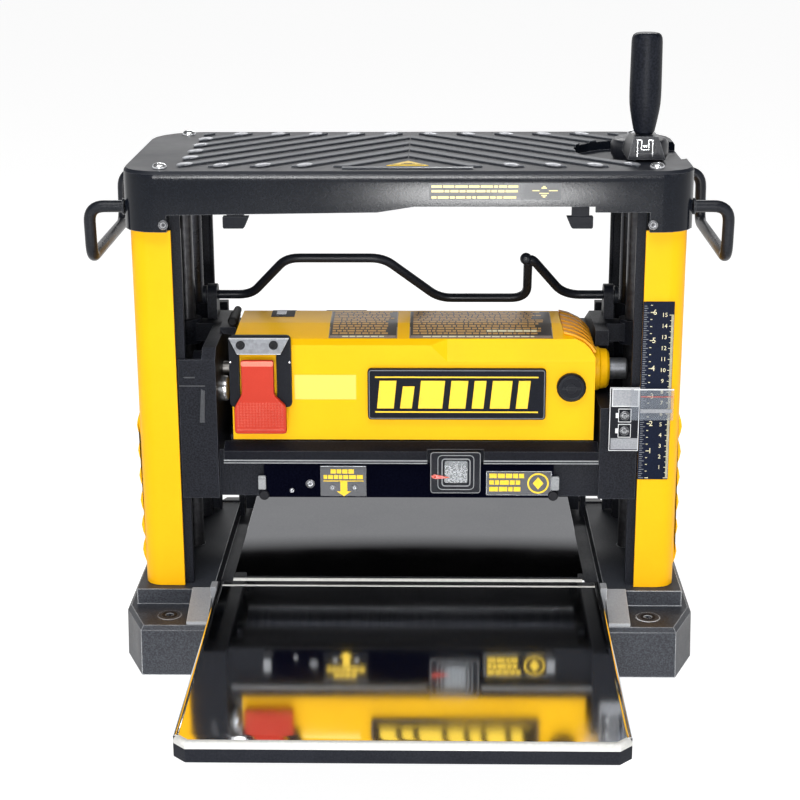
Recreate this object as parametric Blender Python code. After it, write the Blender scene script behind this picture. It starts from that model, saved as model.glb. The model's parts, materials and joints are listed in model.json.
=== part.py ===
"""Portable thickness planer, built as an assembly of separate closed solids.

Metres, +Z up.  The origin is on the ground under the middle of the machine, +X is to the operator's
right and -Y is the infeed side, where the operator stands.
"""
import math

import bpy
import bmesh
from mathutils import Vector

# ---------------------------------------------------------------- driving dimensions
GAP = 0.0003                # left between solids that touch
RUN = 0.0003                # radial clearance of a turning shaft
BED_TOP = 0.0704
READING = 0.0762            # thickness the head is set to
CUT_Z = BED_TOP + READING   # cutting plane

BASE_X, BASE_Y, BASE_TOP = 0.2575, 0.1654, 0.0469
FOOT_X, FOOT_Y = 0.215, 0.140                 # bolt holes in the four feet
FOOT_PAD_R, FOOT_PAD_HIGH = 0.0105, 0.0005
COLLAR_TOP = 0.0616
COLLAR_Y = 0.1144
BED_X, BED_Y = 0.160, 0.112

PANEL_X, PANEL_Y = 0.242, 0.1064
PANEL_IN = 0.205
PANEL_TOP = 0.3922
FRAME_IN, FRAME_IN_REAR, FRAME_OUT, FRAME_Y = 0.1975, 0.1940, 0.236, 0.100
SHEET = 0.003

COVER_X, COVER_Y, COVER_TOP = 0.2465, 0.1165, 0.4449
COVER_LOW, SKIRT_LOW = 0.3927, 0.410
COVER_WALL = 0.004
ARCH_RIGHT, ARCH_TOP, SKIRT_FALL = 0.1600, 0.4150, 0.0024
HANDLE_LEG, HANDLE_TOP = 0.087, 0.410         # where the carry handles meet the cover

POST_X, POST_Y, POST_R = 0.2110, 0.078, 0.009
SCREW_X, SCREW_R = 0.2085, 0.008

TABLE_X, TABLE_END, TABLE_LOW = 0.172, 0.4255, 0.054
HINGE_Y, HINGE_Z, HINGE_R = 0.1215, 0.064, 0.003

PLATE_IN, PLATE_OUT = 0.1705, 0.1825          # the two side plates of the head
MOTOR = (-0.045, 0.252)                       # motor axis (y, z)
CUTTER = (0.0, CUT_Z + 0.025)
ROLLER_Y, ROLLER_R = 0.055, 0.016
ROLLER_Z = CUT_Z - 0.001 + ROLLER_R
LOCK = (0.020, 0.3055)                        # lock bar axis (y, z)
CAP_R = 0.0200                                # flange of the motor's end cap
CRANK_R = 0.060                               # dish round the crank
GRIP_X, GRIP_Y = 0.2056, -0.056

AXES = {"X": (1, 2, 0), "Y": (0, 2, 1), "Z": (0, 1, 2)}


# ---------------------------------------------------------------- helpers
def clear_scene():
    for obj in list(bpy.data.objects):
        bpy.data.objects.remove(obj, do_unlink=True)


def paint(name, colour, roughness, metallic=0.0, alpha=1.0):
    material = bpy.data.materials.new(name)
    material.use_nodes = True
    shader = material.node_tree.nodes["Principled BSDF"]
    shader.inputs["Base Color"].default_value = (*colour, 1.0)
    shader.inputs["Roughness"].default_value = roughness
    shader.inputs["Metallic"].default_value = metallic
    shader.inputs["Alpha"].default_value = alpha
    return material


def rings(loops, close=False):
    """Mesh through loops of equal length, capped at both ends or closed into a ring."""
    mesh = bmesh.new()
    rows = [[mesh.verts.new(point) for point in loop] for loop in loops]
    pairs = list(zip(rows, rows[1:]))
    if close:
        pairs.append((rows[-1], rows[0]))
    else:
        mesh.faces.new(rows[0])
        mesh.faces.new(rows[-1])
    for low, high in pairs:
        for i in range(len(low)):
            j = (i + 1) % len(low)
            mesh.faces.new((low[i], low[j], high[j], high[i]))
    bmesh.ops.recalc_face_normals(mesh, faces=mesh.faces)
    return mesh


def prism(outline, low, high, axis="Z"):
    """Extrude a flat outline, given in the two other axes, from low to high along an axis."""
    first, second, along = AXES[axis]
    loops = []
    for level in (low, high):
        loop = []
        for point in outline:
            place = [0.0, 0.0, 0.0]
            place[first], place[second], place[along] = point[0], point[1], level
            loop.append(tuple(place))
        loops.append(loop)
    return rings(loops)


def box(x0, x1, y0, y1, z0, z1):
    return prism([(x0, y0), (x1, y0), (x1, y1), (x0, y1)], z0, z1)


def mirrored_box(t, x0, x1, y0, y1, z0, z1):
    """Box between two distances x0 and x1 from the centre line, on the side t."""
    return box(min(t * x0, t * x1), max(t * x0, t * x1), y0, y1, z0, z1)


def circle(centre, radius, sides=16, start=0.0, end=math.tau):
    """Points of a circle, or of an arc with both its ends."""
    whole = abs(end - start - math.tau) < 1e-6
    steps = sides if whole else sides - 1
    turns = [start + (end - start) * i / steps for i in range(sides)]
    return [(centre[0] + radius * math.cos(a), centre[1] + radius * math.sin(a)) for a in turns]


def cylinder(centre, radius, low, high, axis="Z", sides=16):
    return prism(circle(centre, radius, sides), low, high, axis)


def rounded(x0, x1, y0, y1, radius, steps=4, near=None):
    """Rectangle with round corners, and another radius for the two at y0 where near is given."""
    low = radius if near is None else near
    corners = [(x1 - radius, y1 - radius, radius, 0), (x0 + radius, y1 - radius, radius, 1),
               (x0 + low, y0 + low, low, 2), (x1 - low, y0 + low, low, 3)]
    outline = []
    for x, y, bend, quarter in corners:
        start = quarter * math.pi / 2
        outline += circle((x, y), bend, steps + 1, start, start + math.pi / 2)
    return outline


def turned(profile, centre, axis="Z", sides=20):
    """Turn a profile of (distance along the axis, radius) about an axis line."""
    first, second, along = AXES[axis]
    loops = []
    for level, radius in profile:
        loop = []
        for a, b in circle(centre, radius, sides):
            place = [0.0, 0.0, 0.0]
            place[first], place[second], place[along] = a, b, level
            loop.append(tuple(place))
        loops.append(loop)
    return rings(loops)


def fillet(points, radius, steps=4):
    """Round the inner corners of a path."""
    path = [Vector(points[0])]
    for before, corner, after in zip(points, points[1:], points[2:]):
        corner = Vector(corner)
        back = (Vector(before) - corner)
        ahead = (Vector(after) - corner)
        reach = min(radius, back.length * 0.45, ahead.length * 0.45)
        start = corner + back.normalized() * reach
        end = corner + ahead.normalized() * reach
        for i in range(steps + 1):
            t = i / steps
            path.append(start * (1 - t) ** 2 + corner * 2 * t * (1 - t) + end * t ** 2)
    path.append(Vector(points[-1]))
    return path


def rod(points, radius, sides=10):
    """Round bar along a path."""
    loops = []
    side = None
    for i, point in enumerate(points):
        ahead = points[min(i + 1, len(points) - 1)] - points[max(i - 1, 0)]
        ahead.normalize()
        if side is None:
            side = ahead.cross(Vector((0.31, 0.17, 0.93))).normalized()
        side = (side - ahead * side.dot(ahead)).normalized()
        up = ahead.cross(side)
        ring = [point + radius * (side * math.cos(a) + up * math.sin(a))
                for a in (math.tau * k / sides for k in range(sides))]
        loops.append([tuple(v) for v in ring])
    return rings(loops)


def belt_outline(first, r_first, second, r_second, sides=12):
    """Outline of a loop stretched round two circles."""
    dx, dy = second[0] - first[0], second[1] - first[1]
    heading = math.atan2(dy, dx)
    spread = math.acos((r_first - r_second) / math.hypot(dx, dy))
    around = circle(first, r_first, sides, heading + spread, heading + math.tau - spread)
    return around + circle(second, r_second, sides, heading - spread, heading + spread)


def joined(shapes):
    """One mesh holding several shapes that stay clear of each other."""
    mesh = bmesh.new()
    for shape in shapes:
        made = {v: mesh.verts.new(v.co) for v in shape.verts}
        for face in shape.faces:
            mesh.faces.new([made[v] for v in face.verts])
        shape.free()
    return mesh


def bevel_where(mesh, chosen, width, segments=1):
    """Bevel the edges whose two ends both pass a test."""
    edges = [e for e in mesh.edges if chosen(e.verts[0].co) and chosen(e.verts[1].co)]
    bmesh.ops.bevel(mesh, geom=edges, offset=width, segments=segments, profile=0.5, affect="EDGES")
    return mesh


def make_object(name, mesh, origin=(0, 0, 0)):
    bmesh.ops.translate(mesh, verts=mesh.verts, vec=-Vector(origin))
    data = bpy.data.meshes.new(name)
    mesh.to_mesh(data)
    mesh.free()
    obj = bpy.data.objects.new(name, data)
    obj.location = origin
    bpy.context.scene.collection.objects.link(obj)
    return obj


def piece(name, material, mesh, add=(), cut=(), origin=(0, 0, 0), first_cut=()):
    """A named solid: a base shape, cuts made first, shapes joined to it and cuts made last."""
    obj = make_object(name, mesh, origin)
    obj.data.materials.append(material)
    obj.data.shade_smooth()
    obj.data.set_sharp_from_angle(angle=math.radians(35))
    steps = [("DIFFERENCE", shape) for shape in first_cut]
    steps += [("UNION", shape) for shape in add]
    steps += [("DIFFERENCE", shape) for shape in cut]
    for number, (operation, shape) in enumerate(steps):
        guide = make_object(f"guide_{name}_{number}", shape)
        guide.hide_render = True
        guide.display_type = "WIRE"
        change = obj.modifiers.new(operation.title(), "BOOLEAN")
        change.operation = operation
        change.solver = "EXACT"
        change.object = guide
    return obj


# ---------------------------------------------------------------- base, bed and columns
def base_outline(inset):
    x, y = BASE_X - inset, BASE_Y - inset
    cut_x, cut_y = 0.0195 - inset * 0.3, 0.046 - inset * 0.3
    corner = [(x, y - cut_y), (x - cut_x, y)]
    outline = []
    for sx, sy in ((1, 1), (-1, 1), (-1, -1), (1, -1)):
        points = [(sx * px, sy * py) for px, py in corner]
        outline += points if sx * sy > 0 else points[::-1]
    return outline


def build_base(black):
    shoulder = 0.004
    levels = [(0.0, 0.0), (BASE_TOP - shoulder, 0.001), (BASE_TOP, shoulder)]
    shell = rings([[(x, y, z) for x, y in base_outline(inset)] for z, inset in levels])
    under = prism(base_outline(0.006), -0.01, BASE_TOP - 0.007)
    pan_under = box(-0.152, 0.152, -0.1025, 0.1025, 0.030, BED_TOP - 0.0083)
    collars = [mirrored_box(s, 0.178, 0.248, -COLLAR_Y, COLLAR_Y, 0.044, COLLAR_TOP) for s in (-1, 1)]
    pan = box(-0.158, 0.158, -0.1085, 0.1085, 0.044, BED_TOP - 0.0023)
    screw_holes = [cylinder((s * SCREW_X, 0), SCREW_R + 0.0006, -0.02, 0.09) for s in (-1, 1)]
    corners = [(sx * FOOT_X, sy * FOOT_Y) for sx in (-1, 1) for sy in (-1, 1)]
    foot_holes = [cylinder(corner, 0.0035, 0.03, 0.06, sides=12) for corner in corners]
    pads = [cylinder(corner, FOOT_PAD_R, 0.044, BASE_TOP + FOOT_PAD_HIGH, sides=24) for corner in corners]
    piece("base_casting", black, shell, collars + [pan, joined(pads)],
          [under, pan_under, joined(screw_holes + foot_holes)])


def build_bed(steel):
    roll, skirt = 0.003, 0.0618
    top = circle((BED_Y - roll, BED_TOP - roll), roll, 4, 0, math.pi / 2)
    inner = [(BED_Y - 0.002, skirt), (BED_Y - 0.002, BED_TOP - 0.002)]
    right = [(BED_Y, skirt)] + top
    left = [(-y, z) for y, z in reversed(right)]
    inside = [(-y, z) for y, z in inner] + [(y, z) for y, z in reversed(inner)]
    piece("bed_plate", steel, prism(right + left + inside, -BED_X, BED_X, "X"))


def build_posts(steel):
    for sx, side in ((-1, "left"), (1, "right")):
        for sy, end in ((-1, "front"), (1, "rear")):
            centre = (sx * POST_X, sy * POST_Y)
            piece(f"guide_post_{end}_{side}", steel,
                  cylinder(centre, POST_R, COLLAR_TOP + GAP, COVER_TOP - COVER_WALL - GAP, sides=20))


def side_outline(s, wall, corner):
    """Half of a channel's plan: from its front inner edge round its outer side to the rear."""
    x, y = PANEL_X - wall, PANEL_Y - wall
    radius = corner - wall
    front = circle((x - radius, -y + radius), radius, 5, -math.pi / 2, 0)
    rear = circle((x - radius, y - radius), radius, 5, 0, math.pi / 2)
    outline = [(PANEL_IN, -y)] + front + rear + [(PANEL_IN, y)]
    return [(s * px, py) for px, py in outline]


def build_side_panels(yellow):
    bumps, pitch, proud, first = 6, 0.024, 0.0035, 0.078
    for s, side in ((-1, "left"), (1, "right")):
        outline = side_outline(s, 0.0, 0.016) + side_outline(s, SHEET, 0.016)[::-1]
        shell = prism(outline, COLLAR_TOP + GAP, PANEL_TOP)
        waves = []
        for i in range(bumps * 4 + 1):
            swell = proud * math.sin(math.pi * (i % 4) / 4) if i % 4 else 0.0005
            waves.append((s * (PANEL_X + swell), first + pitch * i / 4))
        back = s * (PANEL_X - 0.0015)
        grip = prism([(back, first)] + waves + [(back, first + pitch * bumps)], -0.088, 0.088, "Y")
        piece(f"side_panel_{side}", yellow, shell, [grip])


def build_inner_frames(black):
    lip, slant = 0.0065, 0.010
    y, inner = FRAME_Y, FRAME_Y - SHEET

    def outside(edge):
        return [(edge, -y + lip), (edge, -y), (FRAME_OUT - slant, -y), (FRAME_OUT, -y + slant)]

    def inside_of(edge):
        return [(FRAME_OUT - SHEET, -y + slant + 0.001), (FRAME_OUT - slant - 0.001, -inner),
                (edge + SHEET, -inner), (edge + SHEET, -y + lip)]

    for s, side in ((-1, "left"), (1, "right")):
        front = [(s * px, py) for px, py in outside(FRAME_IN)]
        rear = [(s * px, -py) for px, py in reversed(outside(FRAME_IN_REAR))]
        rear_inside = [(s * px, -py) for px, py in reversed(inside_of(FRAME_IN_REAR))]
        front_inside = [(s * px, py) for px, py in inside_of(FRAME_IN)]
        channel = prism(front + rear + rear_inside + front_inside, COLLAR_TOP + GAP, PANEL_TOP)
        tabs = [box(min(s * edge, s * 0.206), max(s * edge, s * 0.206),
                    min(sy * inner, sy * y), max(sy * inner, sy * y), PANEL_TOP - 0.01, 0.4400)
                for sy, edge in ((-1, FRAME_IN), (1, FRAME_IN_REAR))]
        piece(f"inner_frame_{side}", black, channel, tabs)


def build_scale(navy):
    front = -PANEL_Y - GAP
    piece("depth_scale", navy, box(0.2053, 0.2319, front - 0.0006, front, 0.1665, 0.3300))


# ---------------------------------------------------------------- top cover
def clip(outline, index, limit, sign):
    """Part of an outline where sign * coordinate is no more than sign * limit."""
    kept = []
    for a, b in zip(outline, outline[1:] + outline[:1]):
        inside_a = sign * a[index] <= sign * limit
        inside_b = sign * b[index] <= sign * limit
        if inside_a:
            kept.append(a)
        if inside_a != inside_b:
            t = (limit - a[index]) / (b[index] - a[index])
            kept.append((a[0] + t * (b[0] - a[0]), a[1] + t * (b[1] - a[1])))
    return kept


def cover_ribs():
    """Herringbone ribs: bars at 45 degrees that meet on the centre line, points to the rear."""
    pitch, half, reach_x, reach_y = 0.036, 0.0062, 0.198, 0.094
    shapes = []
    for k in range(-1, 9):
        tip = pitch * k
        for s in (-1, 1):
            far = 0.30
            bar = [(0.0, tip - half), (s * far, tip - half - far),
                   (s * far, tip + half - far), (0.0, tip + half)]
            bar = clip(clip(clip(bar, 0, s * reach_x, s), 1, reach_y, 1), 1, -reach_y, -1)
            if len(bar) > 2:
                bar = [(x if abs(x) > 1e-9 else s * 0.0004, y) for x, y in bar]
                shapes.append(prism(bar, COVER_TOP - 0.001, COVER_TOP + 0.0018))
    return joined(shapes)


def build_cover(black):
    """Cover shell: its front leans back above a crease, and its skirt is arched in front."""
    levels = [(COVER_LOW, 0.0, 0.0, 0.0), (0.4355, 0.0, 0.0, 0.0), (0.4425, 0.0, 0.0018, 0.0006),
              (COVER_TOP, 0.0015, 0.0045, 0.0030)]
    plans = [(z, rounded(-COVER_X + side, COVER_X - side, -COVER_Y + front, COVER_Y - rear, 0.045, 5, 0.030))
             for z, side, front, rear in levels]
    shell = rings([[(x, y, z) for x, y in plan] for z, plan in plans])
    x_in, y_in, x_out, y_out = 0.2065, COVER_Y - COVER_WALL, 0.2395, 0.0885
    cross = [(x_in, -y_in), (x_in, -y_out), (x_out, -y_out),
             (x_out, y_out), (x_in, y_out), (x_in, y_in)]
    cross += [(-x, -y) for x, y in cross]
    ceiling = COVER_TOP - COVER_WALL
    pocket = prism(cross, COVER_LOW - 0.01, ceiling)
    below = COVER_LOW - 0.02
    arch = [(-x_in, below), (x_in, below), (x_in, SKIRT_LOW), (ARCH_RIGHT, SKIRT_LOW), (ARCH_RIGHT, ARCH_TOP),
            (0.0058, ARCH_TOP), (-0.0257, SKIRT_LOW), (-x_in, SKIRT_LOW - SKIRT_FALL)]
    front_window = prism(arch, -0.2, -0.1, "Y")
    rear_window = box(-x_in, x_in, 0.1, 0.2, below, SKIRT_LOW)
    floor = 0.4368
    bowl = clip(circle((SCREW_X, 0), CRANK_R + 0.003, 32), 0, COVER_X - 0.004, 1)
    dish = prism(bowl, floor - 0.004, COVER_TOP - 0.0015)
    front_bar = box(-0.056, 0.056, -0.1035, -0.0985, COVER_TOP - 0.001, COVER_TOP + 0.0018)
    hollow = prism(circle((SCREW_X, 0), CRANK_R, 32), floor, COVER_TOP + 0.02)
    spindle = cylinder((SCREW_X, 0), SCREW_R + 0.0006, floor - 0.02, floor + 0.01)
    bosses = [cylinder((HANDLE_LEG, HANDLE_TOP), 0.0075, min(s * 0.2400, s * COVER_X),
                       max(s * 0.2400, s * COVER_X), "X") for s in (-1, 1)]
    piece("top_cover", black, shell, [dish, cover_ribs(), front_bar, joined(bosses)], [hollow, spindle],
          first_cut=[pocket, front_window, rear_window])


def build_carry_handles(black):
    radius, out, leg, top, low = 0.00525, 0.27825, HANDLE_LEG, HANDLE_TOP, 0.3632
    for s, side in ((-1, "left"), (1, "right")):
        x0 = COVER_X + GAP
        corners = [(x0, -leg, top), (out, -leg, top), (out, -leg + 0.004, low), (out, leg - 0.004, low),
                   (out, leg, top), (x0, leg, top)]
        path = fillet([(s * x, y, z) for x, y, z in corners], 0.014)
        piece(f"carry_handle_{side}", black, rod(path, radius))


def build_catches(black):
    low, high = 0.3959, 0.4063
    for s, side in ((-1, "left"), (1, "right")):
        hook = [(s * 0.1356, high), (s * 0.1583, high), (s * 0.1583, low + 0.001), (s * 0.1575, low),
                (s * 0.1410, low), (s * 0.1395, low + 0.0015)]
        ceiling = SKIRT_LOW - 0.0018 if s < 0 else ARCH_TOP
        neck = mirrored_box(s, 0.1400, 0.1550, -0.1150, -0.1100, high - 0.002, ceiling - GAP)
        piece(f"table_catch_{side}", black, prism(hook, -0.1162, -0.1085, "Y"), [neck])


# ---------------------------------------------------------------- height crank and lift
def build_crank(black, steel):
    origin = (SCREW_X, 0, 0.4475)
    low, high = 0.4475, 0.4675
    hub_top = 0.4575
    loops = [[(SCREW_X - 0.0178, y, low), (SCREW_X + 0.0152, y, low),
              (SCREW_X + 0.0083, y, top), (SCREW_X - 0.0132, y, top)]
             for y, top in ((-0.070, high), (-0.044, high), (0.0, hub_top - 0.001))]
    arm = rings(loops)
    hub = turned([(0.4372, 0.0235), (0.4430, 0.0262), (0.4515, 0.0262), (0.4555, 0.0240),
                  (hub_top, 0.0190)], (SCREW_X, 0), sides=24)
    slot = box(GRIP_X - 0.0090, GRIP_X + 0.0085, -0.08, -0.0665, 0.4530, 0.4600)
    hole = cylinder((GRIP_X, GRIP_Y), 0.0043, low - 0.01, high + 0.01)
    piece("crank_arm", black, arm, [hub], [slot, hole], origin)
    piece("grip_pin", steel, cylinder((GRIP_X, GRIP_Y), 0.004, low + 0.0005, 0.5300), origin=origin)
    grip_low, grip_top = high + GAP, 0.555
    profile = [(0.5305, 0.0043), (grip_low, 0.0043), (grip_low, 0.0080), (0.4715, 0.0092), (0.4850, 0.0121),
               (0.4970, 0.0137), (0.5080, 0.0138), (0.5480, 0.0134), (0.5530, 0.0118), (grip_top, 0.0080)]
    piece("crank_grip", black, turned(profile, (GRIP_X, GRIP_Y)), origin=(GRIP_X, GRIP_Y, high))


def build_lift(steel, dark):
    low, z0, z1, teeth = 0.012, 0.0155, 0.0215, 14
    tops = {"left": 0.4300, "right": 0.4368}
    for s, side in ((-1, "left"), (1, "right")):
        centre = (s * SCREW_X, 0)
        origin = (s * SCREW_X, 0, 0.05)
        piece(f"elevation_screw_{side}", steel, cylinder(centre, SCREW_R, low, tops[side]), origin=origin)
        spread = [0.0163 if k % 2 else 0.0143 for k in range(teeth * 2)]
        star = [(centre[0] + r * math.cos(math.tau * k / len(spread)),
                 centre[1] + r * math.sin(math.tau * k / len(spread))) for k, r in enumerate(spread)]
        piece(f"lift_sprocket_{side}", steel, prism(star, z0, z1), [],
              [cylinder(centre, SCREW_R + GAP, z0 - 0.01, z1 + 0.01)], origin)
    ends = ((-SCREW_X, 0), (SCREW_X, 0))
    inside = prism(belt_outline(ends[0], 0.0168, ends[1], 0.0168), 0.0, 0.04)
    band = prism(belt_outline(ends[0], 0.0200, ends[1], 0.0200), 0.0160, 0.0210)
    piece("lift_chain", dark, band, [], [inside])


# ---------------------------------------------------------------- folding tables
def table_shape(s):
    """Table casting on the side s: -1 infeed, +1 outfeed."""
    near, clip_by = HINGE_Y - 0.006, 0.010
    end = TABLE_END
    plan = [(-TABLE_X, near), (TABLE_X, near), (TABLE_X, end - clip_by), (TABLE_X - clip_by, end),
            (-TABLE_X + clip_by, end), (-TABLE_X, end - clip_by)]
    slab = prism([(x, s * y) for x, y in plan], TABLE_LOW, BED_TOP)

    def top_end(v):
        return v.z > BED_TOP - 1e-5 and s * v.y > end - clip_by - 1e-5

    bevel_where(slab, top_end, 0.005, 3)
    pockets = []
    stops = [0.132, 0.226, 0.320, 0.4135]
    for y0, y1 in zip(stops, stops[1:]):
        a, b = s * y0 + s * 0.002, s * y1 - s * 0.002
        pockets.append(box(-0.158, 0.158, min(a, b), max(a, b), TABLE_LOW - 0.01, BED_TOP - 0.004))
    bores = [cylinder((s * HINGE_Y, HINGE_Z), HINGE_R + RUN, x0, x1, "X", 12)
             for x0, x1 in ((-0.18, -0.1602), (0.1602, 0.18))]
    return slab, [joined(pockets), joined(bores)]


def build_tables(steel, grey):
    for s, name, end in ((-1, "infeed", "front"), (1, "outfeed", "rear")):
        slab, cuts = table_shape(s)
        piece(f"{name}_table", steel, slab, [], cuts, (0, s * HINGE_Y, HINGE_Z))
        foot = BASE_TOP + GAP
        slope = [(s * 0.1148, foot), (s * 0.1148, 0.0635), (s * 0.161, 0.0500), (s * 0.161, foot)]
        for t, side in ((-1, "left"), (1, "right")):
            pad = prism(slope, min(t * 0.1782, t * 0.197), max(t * 0.1782, t * 0.197), "X")
            ear = mirrored_box(t, 0.1735, 0.1790, min(s * 0.1150, s * 0.1280), max(s * 0.1150, s * 0.1280),
                               foot, 0.0695)
            pin = cylinder((s * HINGE_Y, HINGE_Z), HINGE_R, min(t * 0.1605, t * 0.1760),
                           max(t * 0.1605, t * 0.1760), "X", 12)
            piece(f"hinge_bracket_{end}_{side}", grey, pad, [ear, pin])


# ---------------------------------------------------------------- head
def build_head_casting(black):
    low, shelf, high = CUT_Z, 0.1965, 0.285
    lug = [(LOCK[0] - 0.013, 0.262), (LOCK[0] + 0.013, 0.262), (LOCK[0] + 0.0095, LOCK[1] + 0.004),
           (LOCK[0] - 0.0095, LOCK[1] + 0.004)]
    wing, beam_top = -0.1045, 0.266
    back = [(wing, low), (0.088, low), (0.088, beam_top), (0.040, high)]
    left = prism(back + [(-0.096, high), (wing, 0.276)], -PLATE_OUT, -PLATE_IN, "X")
    step = [(-0.035, high), (-0.035, 0.2300), (-0.0900, 0.2300), (-0.0965, 0.232), (wing, 0.232)]
    right = prism(back + step, PLATE_IN, PLATE_OUT, "X")
    beam = [(0.030, 0.205), (0.030, beam_top), (0.086, beam_top), (0.086, 0.205),
            (0.082, 0.205), (0.082, beam_top - 0.004), (0.034, beam_top - 0.004), (0.034, 0.205)]
    adds = [right, prism(beam, -0.176, 0.176, "X"),
            box(-0.176, 0.176, -0.0970, -0.0930, low, 0.1900),
            box(-0.176, 0.176, 0.0835, 0.0875, low + 0.004, 0.200),
            mirrored_box(-1, 0.180, 0.2035, wing, -0.1010, low, 0.276),
            mirrored_box(1, 0.180, 0.2035, wing, -0.1010, low, 0.232),
            mirrored_box(-1, 0.1585, 0.173, -0.042, -0.014, high - 0.002, 0.2895),
            cylinder(LOCK, 0.0105, -0.1905, -0.1815, "X"), cylinder(LOCK, 0.0105, 0.1815, 0.1905, "X")]
    cuts = []
    for t in (-1, 1):
        adds.append(prism(lug, min(t * 0.1815, t * 0.1905), max(t * 0.1815, t * 0.1905), "X"))
        for sy in (-1, 1):
            post = (t * POST_X, sy * POST_Y)
            top = shelf if sy < 0 else high
            adds.append(cylinder(post, 0.0135, low + 0.004, top))
            adds.append(mirrored_box(t, 0.179, POST_X, sy * POST_Y - 0.005, sy * POST_Y + 0.005,
                                     low + 0.004, top))
            cuts.append(cylinder(post, POST_R + RUN, low - 0.02, high + 0.02, sides=20))
        adds.append(cylinder((t * SCREW_X, 0), 0.0135, 0.265, 0.288))
        adds.append(mirrored_box(t, 0.179, SCREW_X, -0.010, 0.010, 0.268, high))
        cuts.append(cylinder((t * SCREW_X, 0), SCREW_R + 0.0004, 0.24, 0.31))
        bores = ((CUTTER, 0.0083), ((-ROLLER_Y, ROLLER_Z), 0.0063),
                 ((ROLLER_Y, ROLLER_Z), 0.0063), (LOCK, 0.0047))
        for axis, radius in bores:
            cuts.append(cylinder(axis, radius, min(t * 0.165, t * 0.195), max(t * 0.165, t * 0.195), "X"))
    cuts.append(cylinder(MOTOR, 0.0064, -0.19, -0.165, "X"))
    cuts.append(cylinder(MOTOR, CAP_R + 0.0015, 0.165, 0.195, "X", 28))
    piece("head_casting", black, left, adds, [joined(cuts)])


def motor_section(front, low, chamfer_low, top_drop):
    """Section of the motor cover: upright front, chamfer or crease, crowned top, upright back."""
    inset = front + 0.0925
    return [(front, low), (front, chamfer_low), (-0.0860 + inset * 1.5, 0.2905 - top_drop),
            (-0.0560, 0.2975 - top_drop), (-0.0200, 0.2995 - top_drop), (-0.0010, 0.2950 - top_drop),
            (0.010 - inset, 0.2870 - top_drop), (0.010 - inset, low)]


def build_motor(yellow, steel, copper, grey):
    left, right, wall = -0.1577, 0.1660, 0.003
    body = prism(motor_section(-0.0925, 0.1984, 0.2862, 0.0), left, right, "X")
    hollow = prism(motor_section(-0.0885, 0.2014, 0.2640, wall + 0.0005), left + wall, 0.1270, "X")
    fan_room = prism([(-0.0885, 0.2014), (-0.0885, 0.2640), (-0.0820, 0.2840), (-0.0600, 0.2880),
                      (-0.0100, 0.2880), (0.0065, 0.2830), (0.0065, 0.2014)], 0.1260, 0.1455, "X")
    end_hollow = box(0.1450, right - wall, -0.0885, 0.0065, 0.2014, 0.2640)
    slant = prism([(left - 0.01, 0.2800), (left + 0.0003, 0.2850),
                   (left + 0.0085, 0.31), (left - 0.01, 0.31)], -0.12, 0.04, "Y")
    dome = [(0.1300, 0.32), (0.1385, 0.2935), (0.1470, 0.2915), (0.1560, 0.2870), (0.1620, 0.2815),
            (0.1655, 0.2757), (right + 0.02, 0.2750), (right + 0.02, 0.32)]
    facets = rings([[(x, y, z) for y, z in ((-0.11, low), (-0.0925, low), (-0.0860, 0.2905),
                                            (-0.0860, 0.30), (-0.11, 0.30))]
                    for x, low in ((0.0195, 0.2862), (0.0345, 0.2715), (right + 0.02, 0.2715))])
    bores = [cylinder(MOTOR, 0.0066, left - 0.01, left + 0.01, "X"),
             cylinder(MOTOR, CAP_R - 0.0025, right - 0.016, right + 0.01, "X", 28)]
    piece("motor_cover", yellow, body, [],
          [hollow, fan_room, end_hollow, slant, prism(dome, -0.12, 0.04, "Y"), facets] + bores)
    plug = CAP_R - 0.0028
    cap = [(0.1792, 0.0066), (0.1520, 0.0066), (0.1520, plug), (right + GAP, plug), (right + GAP, CAP_R),
           (0.1725, CAP_R), (0.1740, 0.0186), (0.1797, 0.0180), (0.1820, 0.0155), (0.1820, 0.0010),
           (0.1823, 0.0005)]
    piece("motor_end_cap", yellow, turned(cap, MOTOR, "X", 28))
    piece("motor_bearing_cap", grey,
          turned([(0.1826, 0.0098), (0.1976, 0.0098), (0.1990, 0.0085)], MOTOR, "X"))
    stator = cylinder(MOTOR, 0.0392, -0.055, 0.070, "X", 24)
    piece("motor_stator", copper, stator, [], [cylinder(MOTOR, 0.0270, -0.06, 0.08, "X", 24)])
    rotor = [(-0.1920, 0.0110), (-0.1840, 0.0110), (-0.1838, 0.0060), (-0.0500, 0.0060),
             (-0.0500, 0.0262), (0.0650, 0.0262), (0.0650, 0.0060), (0.0800, 0.0060),
             (0.0800, 0.0140), (0.1050, 0.0140), (0.1050, 0.0060), (0.1250, 0.0060),
             (0.1280, 0.0330), (0.1410, 0.0330), (0.1450, 0.0060), (0.1785, 0.0060)]
    piece("motor_armature", steel, turned(rotor, MOTOR, "X"), origin=(0, *MOTOR))


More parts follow.
